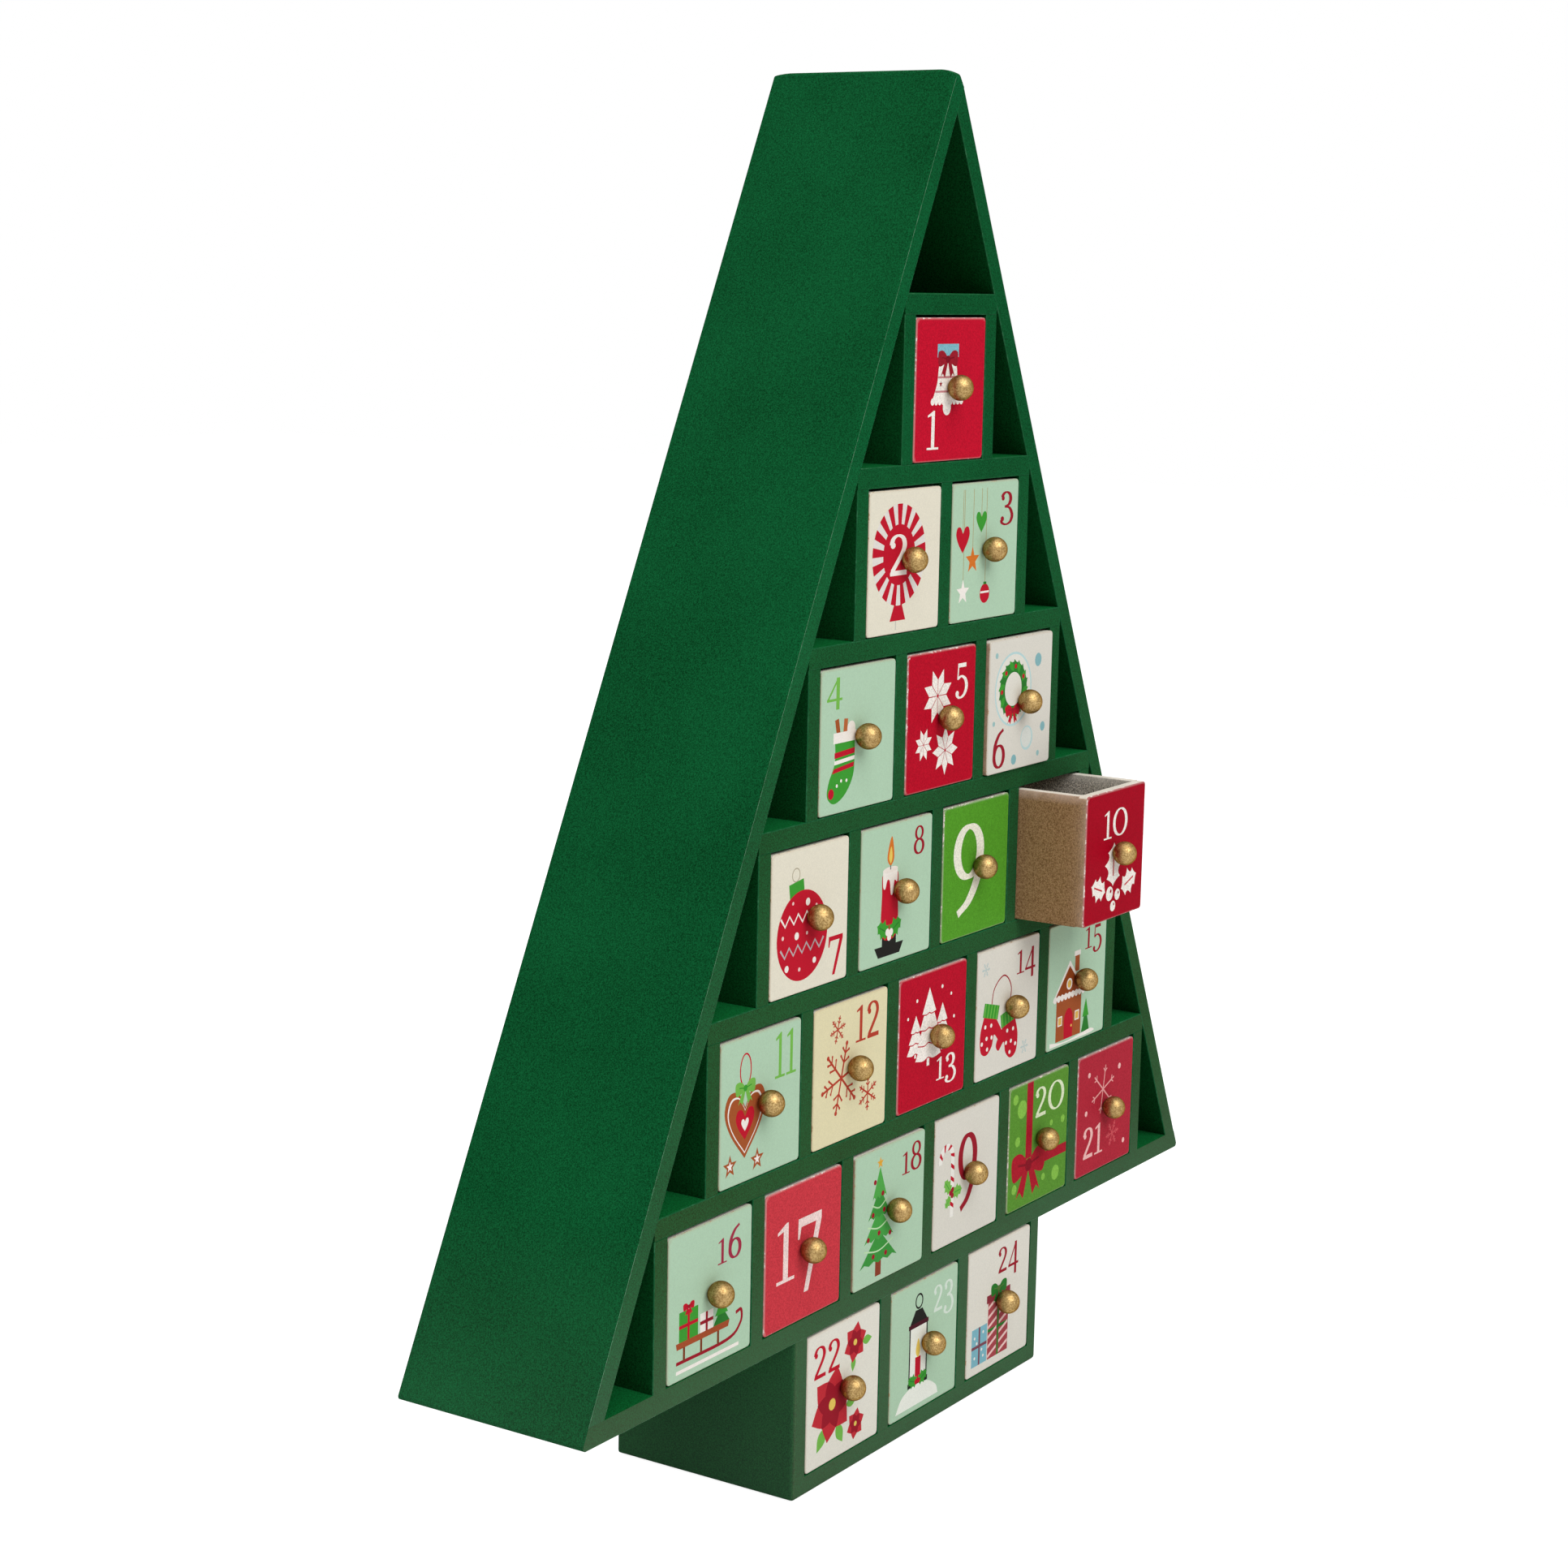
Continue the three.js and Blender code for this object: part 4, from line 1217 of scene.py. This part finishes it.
def turned_back(sheet, triangles, half_u, half_v):
    """The sheet with a quarter-round rim and straight sides, closed at the back.

    At each step a the rim stands out by r sin a and back by r (1 - cos a) from the sheet's edge. Returns the
    points as u, v and depth, the faces, and the way out at each point of the edge.
    """
    radius, inset = CORNER_RADIUS / MM, FRONT_ARRIS / MM
    loop = boundary_loop(sheet, triangles)
    edge = sheet[loop]
    limit = np.array([half_u - radius, half_v - radius])
    outward = edge - np.clip(edge, -limit, limit)
    outward /= np.linalg.norm(outward, axis=1, keepdims=True)
    turns = np.linspace(0, math.pi / 2, RIM_STEPS + 1)[1:]
    steps = [(inset * math.sin(a), inset * (1 - math.cos(a))) for a in turns]
    steps.append((inset, FRONT_THICKNESS / MM))
    flat = [np.column_stack([sheet, np.zeros(len(sheet))])]
    flat += [np.column_stack([edge + outward * out, np.full(len(edge), back)]) for out, back in steps]
    count = len(edge)
    rings = [loop] + [len(sheet) + k * count + np.arange(count) for k in range(len(steps))]
    faces = triangles.tolist()
    for inner, outer in zip(rings[:-1], rings[1:]):
        faces += np.stack([inner, outer, np.roll(outer, -1), np.roll(inner, -1)], -1).tolist()
    faces.append(rings[-1][::-1].tolist())
    return np.vstack(flat), faces, outward


def add_front(number, slot):
    """A printed front, its sides bare board and the top one primed.

    On the right and below, the Rim map's distance has a head start, so that fewer chips show there.
    """
    low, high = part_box(f"drawer_{number:02d}")
    half_u = (high.x - low.x) / 2 / MM
    half_v = (high.z - low.z) / 2 / MM
    shapes = PRINTS[number - 1]()
    rim = rim_points(half_u, half_v, CORNER_RADIUS / MM, FRONT_ARRIS / MM)
    sheet, triangles, topmost = printed_sheet(shapes, rim)
    flat, faces, outward = turned_back(sheet, triangles, half_u, half_v)
    count = len(outward)
    printed = len(triangles) + RIM_STEPS * count
    side_finish = np.where(outward[:, 1] + np.roll(outward[:, 1], -1) > 1, 2, 1)
    kinds = np.concatenate([np.zeros(printed, int), side_finish, [1]])
    centre = (low + high) / 2
    points = np.column_stack([centre.x + flat[:, 0] * MM, low.y + flat[:, 2] * MM,
                              centre.z + flat[:, 1] * MM])
    finishes = [DEEP_FRONT if slot in DEEP_SLOTS else PALE_FRONT, BOX_BOARD, BOX_RIM]
    piece = make_piece(f"front_{number:02d}", points, faces, finishes, kinds)
    mesh = piece.data

    inks = [linear(GROUND_TONE_AND_PAINTED_LIGHT_OF.get(number, GROUNDS[slot]))] + [linear(ink) for _, ink in shapes]
    face_ink = np.array([inks[shape] for shape in topmost] + [inks[0]] * (len(faces) - len(topmost)))
    sides = np.repeat([3, 4, count], [len(triangles), (RIM_STEPS + 1) * count, 1])
    layer = mesh.color_attributes.new("Print", "FLOAT_COLOR", "CORNER")
    layer.data.foreach_set("color", np.repeat(face_ink, sides, axis=0).ravel())
    corner = np.empty(len(mesh.loops), np.int32)
    mesh.loops.foreach_get("vertex_index", corner)
    u, v, back = flat[corner].T
    to_rim = np.min([half_u + u, half_v - v, half_u - u + SPARED_RIGHT, half_v + v + SPARED_BELOW], axis=0)
    mesh.uv_layers.new(name="Rim").data.foreach_set("uv", np.column_stack([to_rim, back]).ravel())
    spray = np.column_stack([back, half_v - v])
    mesh.uv_layers.new(name="Spray").data.foreach_set("uv", spray.ravel())
    place = np.arange(len(faces))
    mesh.polygons.foreach_set("use_smooth", (place >= len(triangles)) & (place < printed))
    settle(piece, f"drawer_body_{number:02d}", f"drawer_{number:02d}")


def add_box(number):
    """The box behind a front: sides, back and bottom of bare board, with primed rims and sealed inside."""
    low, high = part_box(f"drawer_{number:02d}")
    near, far = low.y + FRONT_THICKNESS, high.y
    inner = (low.x + BOX_WALL, high.x - BOX_WALL)
    boards = [
        board(rectangle(low.x, low.z, inner[0], high.z), near, far),
        board(rectangle(inner[1], low.z, high.x, high.z), near, far),
        board(rectangle(inner[0], low.z, inner[1], high.z), far - BOX_WALL, far),
        board(rectangle(inner[0], low.z, inner[1], low.z + BOX_WALL), near, far - BOX_WALL),
    ]
    points = np.vstack([corners for corners, _ in boards])
    faces = np.vstack([np.array(quads) + i * len(corners) for i, (corners, quads) in enumerate(boards)])
    quads = points[faces]
    normals = np.cross(quads[:, 1] - quads[:, 0], quads[:, 2] - quads[:, 0])
    normals /= np.linalg.norm(normals, axis=1, keepdims=True)
    towards_middle = (low.x + high.x, near + far) - 2 * quads.mean(1)[:, :2]
    inward = (normals[:, :2] * towards_middle).sum(1) > 0
    top = normals[:, 2] > 0.5
    at_rim = top & (quads[:, 0, 2] > high.z - BOX_WALL / 2)
    kinds = np.select([at_rim, top | inward], [1, 2], 0)
    piece = make_piece(f"box_{number:02d}", points, faces.tolist(), [BOX_BOARD, BOX_RIM, BOX_INSIDE], kinds)
    corner = faces.ravel()
    spray = np.column_stack([points[corner, 1] - low.y, high.z - points[corner, 2]]) / MM
    piece.data.uv_layers.new(name="Spray").data.foreach_set("uv", spray.ravel())
    round_edges(piece, BOX_ARRIS, (-1, -1, -1), (1, 1, 1), along=(0, 1, 0))
    piece.modifiers["rounded_edges"].material = -1
    settle(piece, f"drawer_body_{number:02d}", f"drawer_{number:02d}")


def add_knob(number):
    """A turned ball flattened at its seat: rings of radius R sin a at the height R cos a from the middle."""
    node = f"knob_{number:02d}"
    low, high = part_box(node)
    radius = (high.x - low.x) / 2
    centre = np.array([(low.x + high.x) / 2, low.y + radius, (low.z + high.z) / 2])
    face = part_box(f"drawer_{number:02d}")[0].y
    seat = math.acos(-(face - centre[1]) / radius)
    a = np.linspace(0, seat, KNOB_RINGS + 1)[1:, None]
    t = np.linspace(0, 2 * math.pi, KNOB_SIDES, endpoint=False)[None, :]
    shell = radius * np.stack([np.sin(a) * np.cos(t), -np.cos(a) + 0 * t, np.sin(a) * np.sin(t)], -1)
    points = np.vstack([[0, -radius, 0], shell.reshape(-1, 3), [0, face - centre[1], 0]]) + centre
    here = np.arange(KNOB_SIDES)
    there = (here + 1) % KNOB_SIDES
    start = 1 + np.arange(KNOB_RINGS)[:, None] * KNOB_SIDES
    inner, outer = start[:-1], start[1:]
    quads = np.stack([inner + here, outer + here, outer + there, inner + there], -1)
    tip = np.stack([np.zeros(KNOB_SIDES, int), 1 + here, 1 + there], -1)
    last = start[-1, 0]
    base = np.stack([last + there, last + here, np.full(KNOB_SIDES, last + KNOB_SIDES)], -1)
    faces = tip.tolist() + quads.reshape(-1, 4).tolist() + base.tolist()
    piece = make_piece(f"ball_{number:02d}", points, faces, [KNOB_GOLD])
    piece.data.shade_smooth()
    settle(piece, f"drawer_body_{number:02d}", node)


for drawer in range(1, DRAWERS + 1):
    add_front(drawer, SLOT_OF_NODE[f"drawer_{drawer:02d}"])
    add_box(drawer)
    add_knob(drawer)


# Camera

def add_camera():
    back = direction(CAMERA_AZIMUTH, CAMERA_ELEVATION)
    right = Vector((math.cos(CAMERA_AZIMUTH), math.sin(CAMERA_AZIMUTH), 0))
    up = back.cross(right)
    turned_right = right * math.cos(CAMERA_ROLL) + up * math.sin(CAMERA_ROLL)
    turned_up = up * math.cos(CAMERA_ROLL) - right * math.sin(CAMERA_ROLL)
    data = bpy.data.cameras.new("camera")
    data.sensor_width = SENSOR_WIDTH
    data.lens = LENS_PIXELS * SENSOR_WIDTH / IMAGE_SIDE
    camera = bpy.data.objects.new("camera", data)
    bpy.context.scene.collection.objects.link(camera)
    pose = Matrix((turned_right, turned_up, back)).transposed().to_4x4()
    pose.translation = CAMERA_TARGET + back * CAMERA_DISTANCE
    camera.matrix_world = pose
    bpy.context.scene.camera = camera


# Light and surroundings

def seen_plainly(tree):
    """One for rays from the camera and for those that a gloss or glass sends on."""
    path = add_node(tree, "LightPath").outputs
    direct = add_node(tree, "Math", [path["Is Camera Ray"], path["Is Glossy Ray"]], operation="MAXIMUM")
    return add_node(tree, "Math", [direct, path["Is Transmission Ray"]], operation="MAXIMUM")


def add_world(level):
    """An even white room: strength 1 where it is seen, and level where it only lights."""
    world = bpy.data.worlds.new("studio")
    world.use_nodes = True
    tree = world.node_tree
    strength = add_node(tree, "MapRange", [seen_plainly(tree), 0.0, 1.0, level, 1.0])
    feed(tree.nodes["Background"], {"Color": (1, 1, 1, 1), "Strength": strength})
    bpy.context.scene.world = world


def add_floor():
    """White paper. Seen plainly it is a glow plus a share of its own shading, so that only shadows show."""
    points = [(x, y, -FLOOR_GAP) for x, y in rectangle(-FLOOR_HALF, -FLOOR_HALF, FLOOR_HALF, FLOOR_HALF)]
    material, shader, _, add = new_finish("white_paper_sweep", 0.9, specular=0.0)
    feed(shader, {"Base Color": linear("e6e6e6")})
    shaded = add("BsdfDiffuse", {"Color": (*[FLOOR_SHADING] * 3, 1)})
    glow = add("Emission", {"Color": (1, 1, 1, 1), "Strength": FLOOR_GLOW})
    paper = add("AddShader", [shaded, glow])
    blend = add("MixShader", [seen_plainly(material.node_tree), shader, paper])
    feed(material.node_tree.nodes["Material Output"], {"Surface": blend})
    make_piece("floor", points, [[0, 1, 2, 3]], [material])


def add_softbox(name, azimuth, elevation, distance, size, watts):
    data = bpy.data.lights.new(name, "AREA")
    data.shape = "SQUARE"
    data.size = size
    data.energy = watts
    lamp = bpy.data.objects.new(name, data)
    bpy.context.scene.collection.objects.link(lamp)
    away = direction(math.radians(azimuth), math.radians(elevation))
    lamp.rotation_mode = "QUATERNION"
    lamp.rotation_quaternion = away.to_track_quat("Z", "Y")
    lamp.location = Vector(AIM) + away * distance


add_camera()
add_world(WORLD_LEVEL)
add_floor()
for softbox in SOFTBOXES:
    add_softbox(*softbox)
bpy.context.scene.view_settings.view_transform = "Standard"
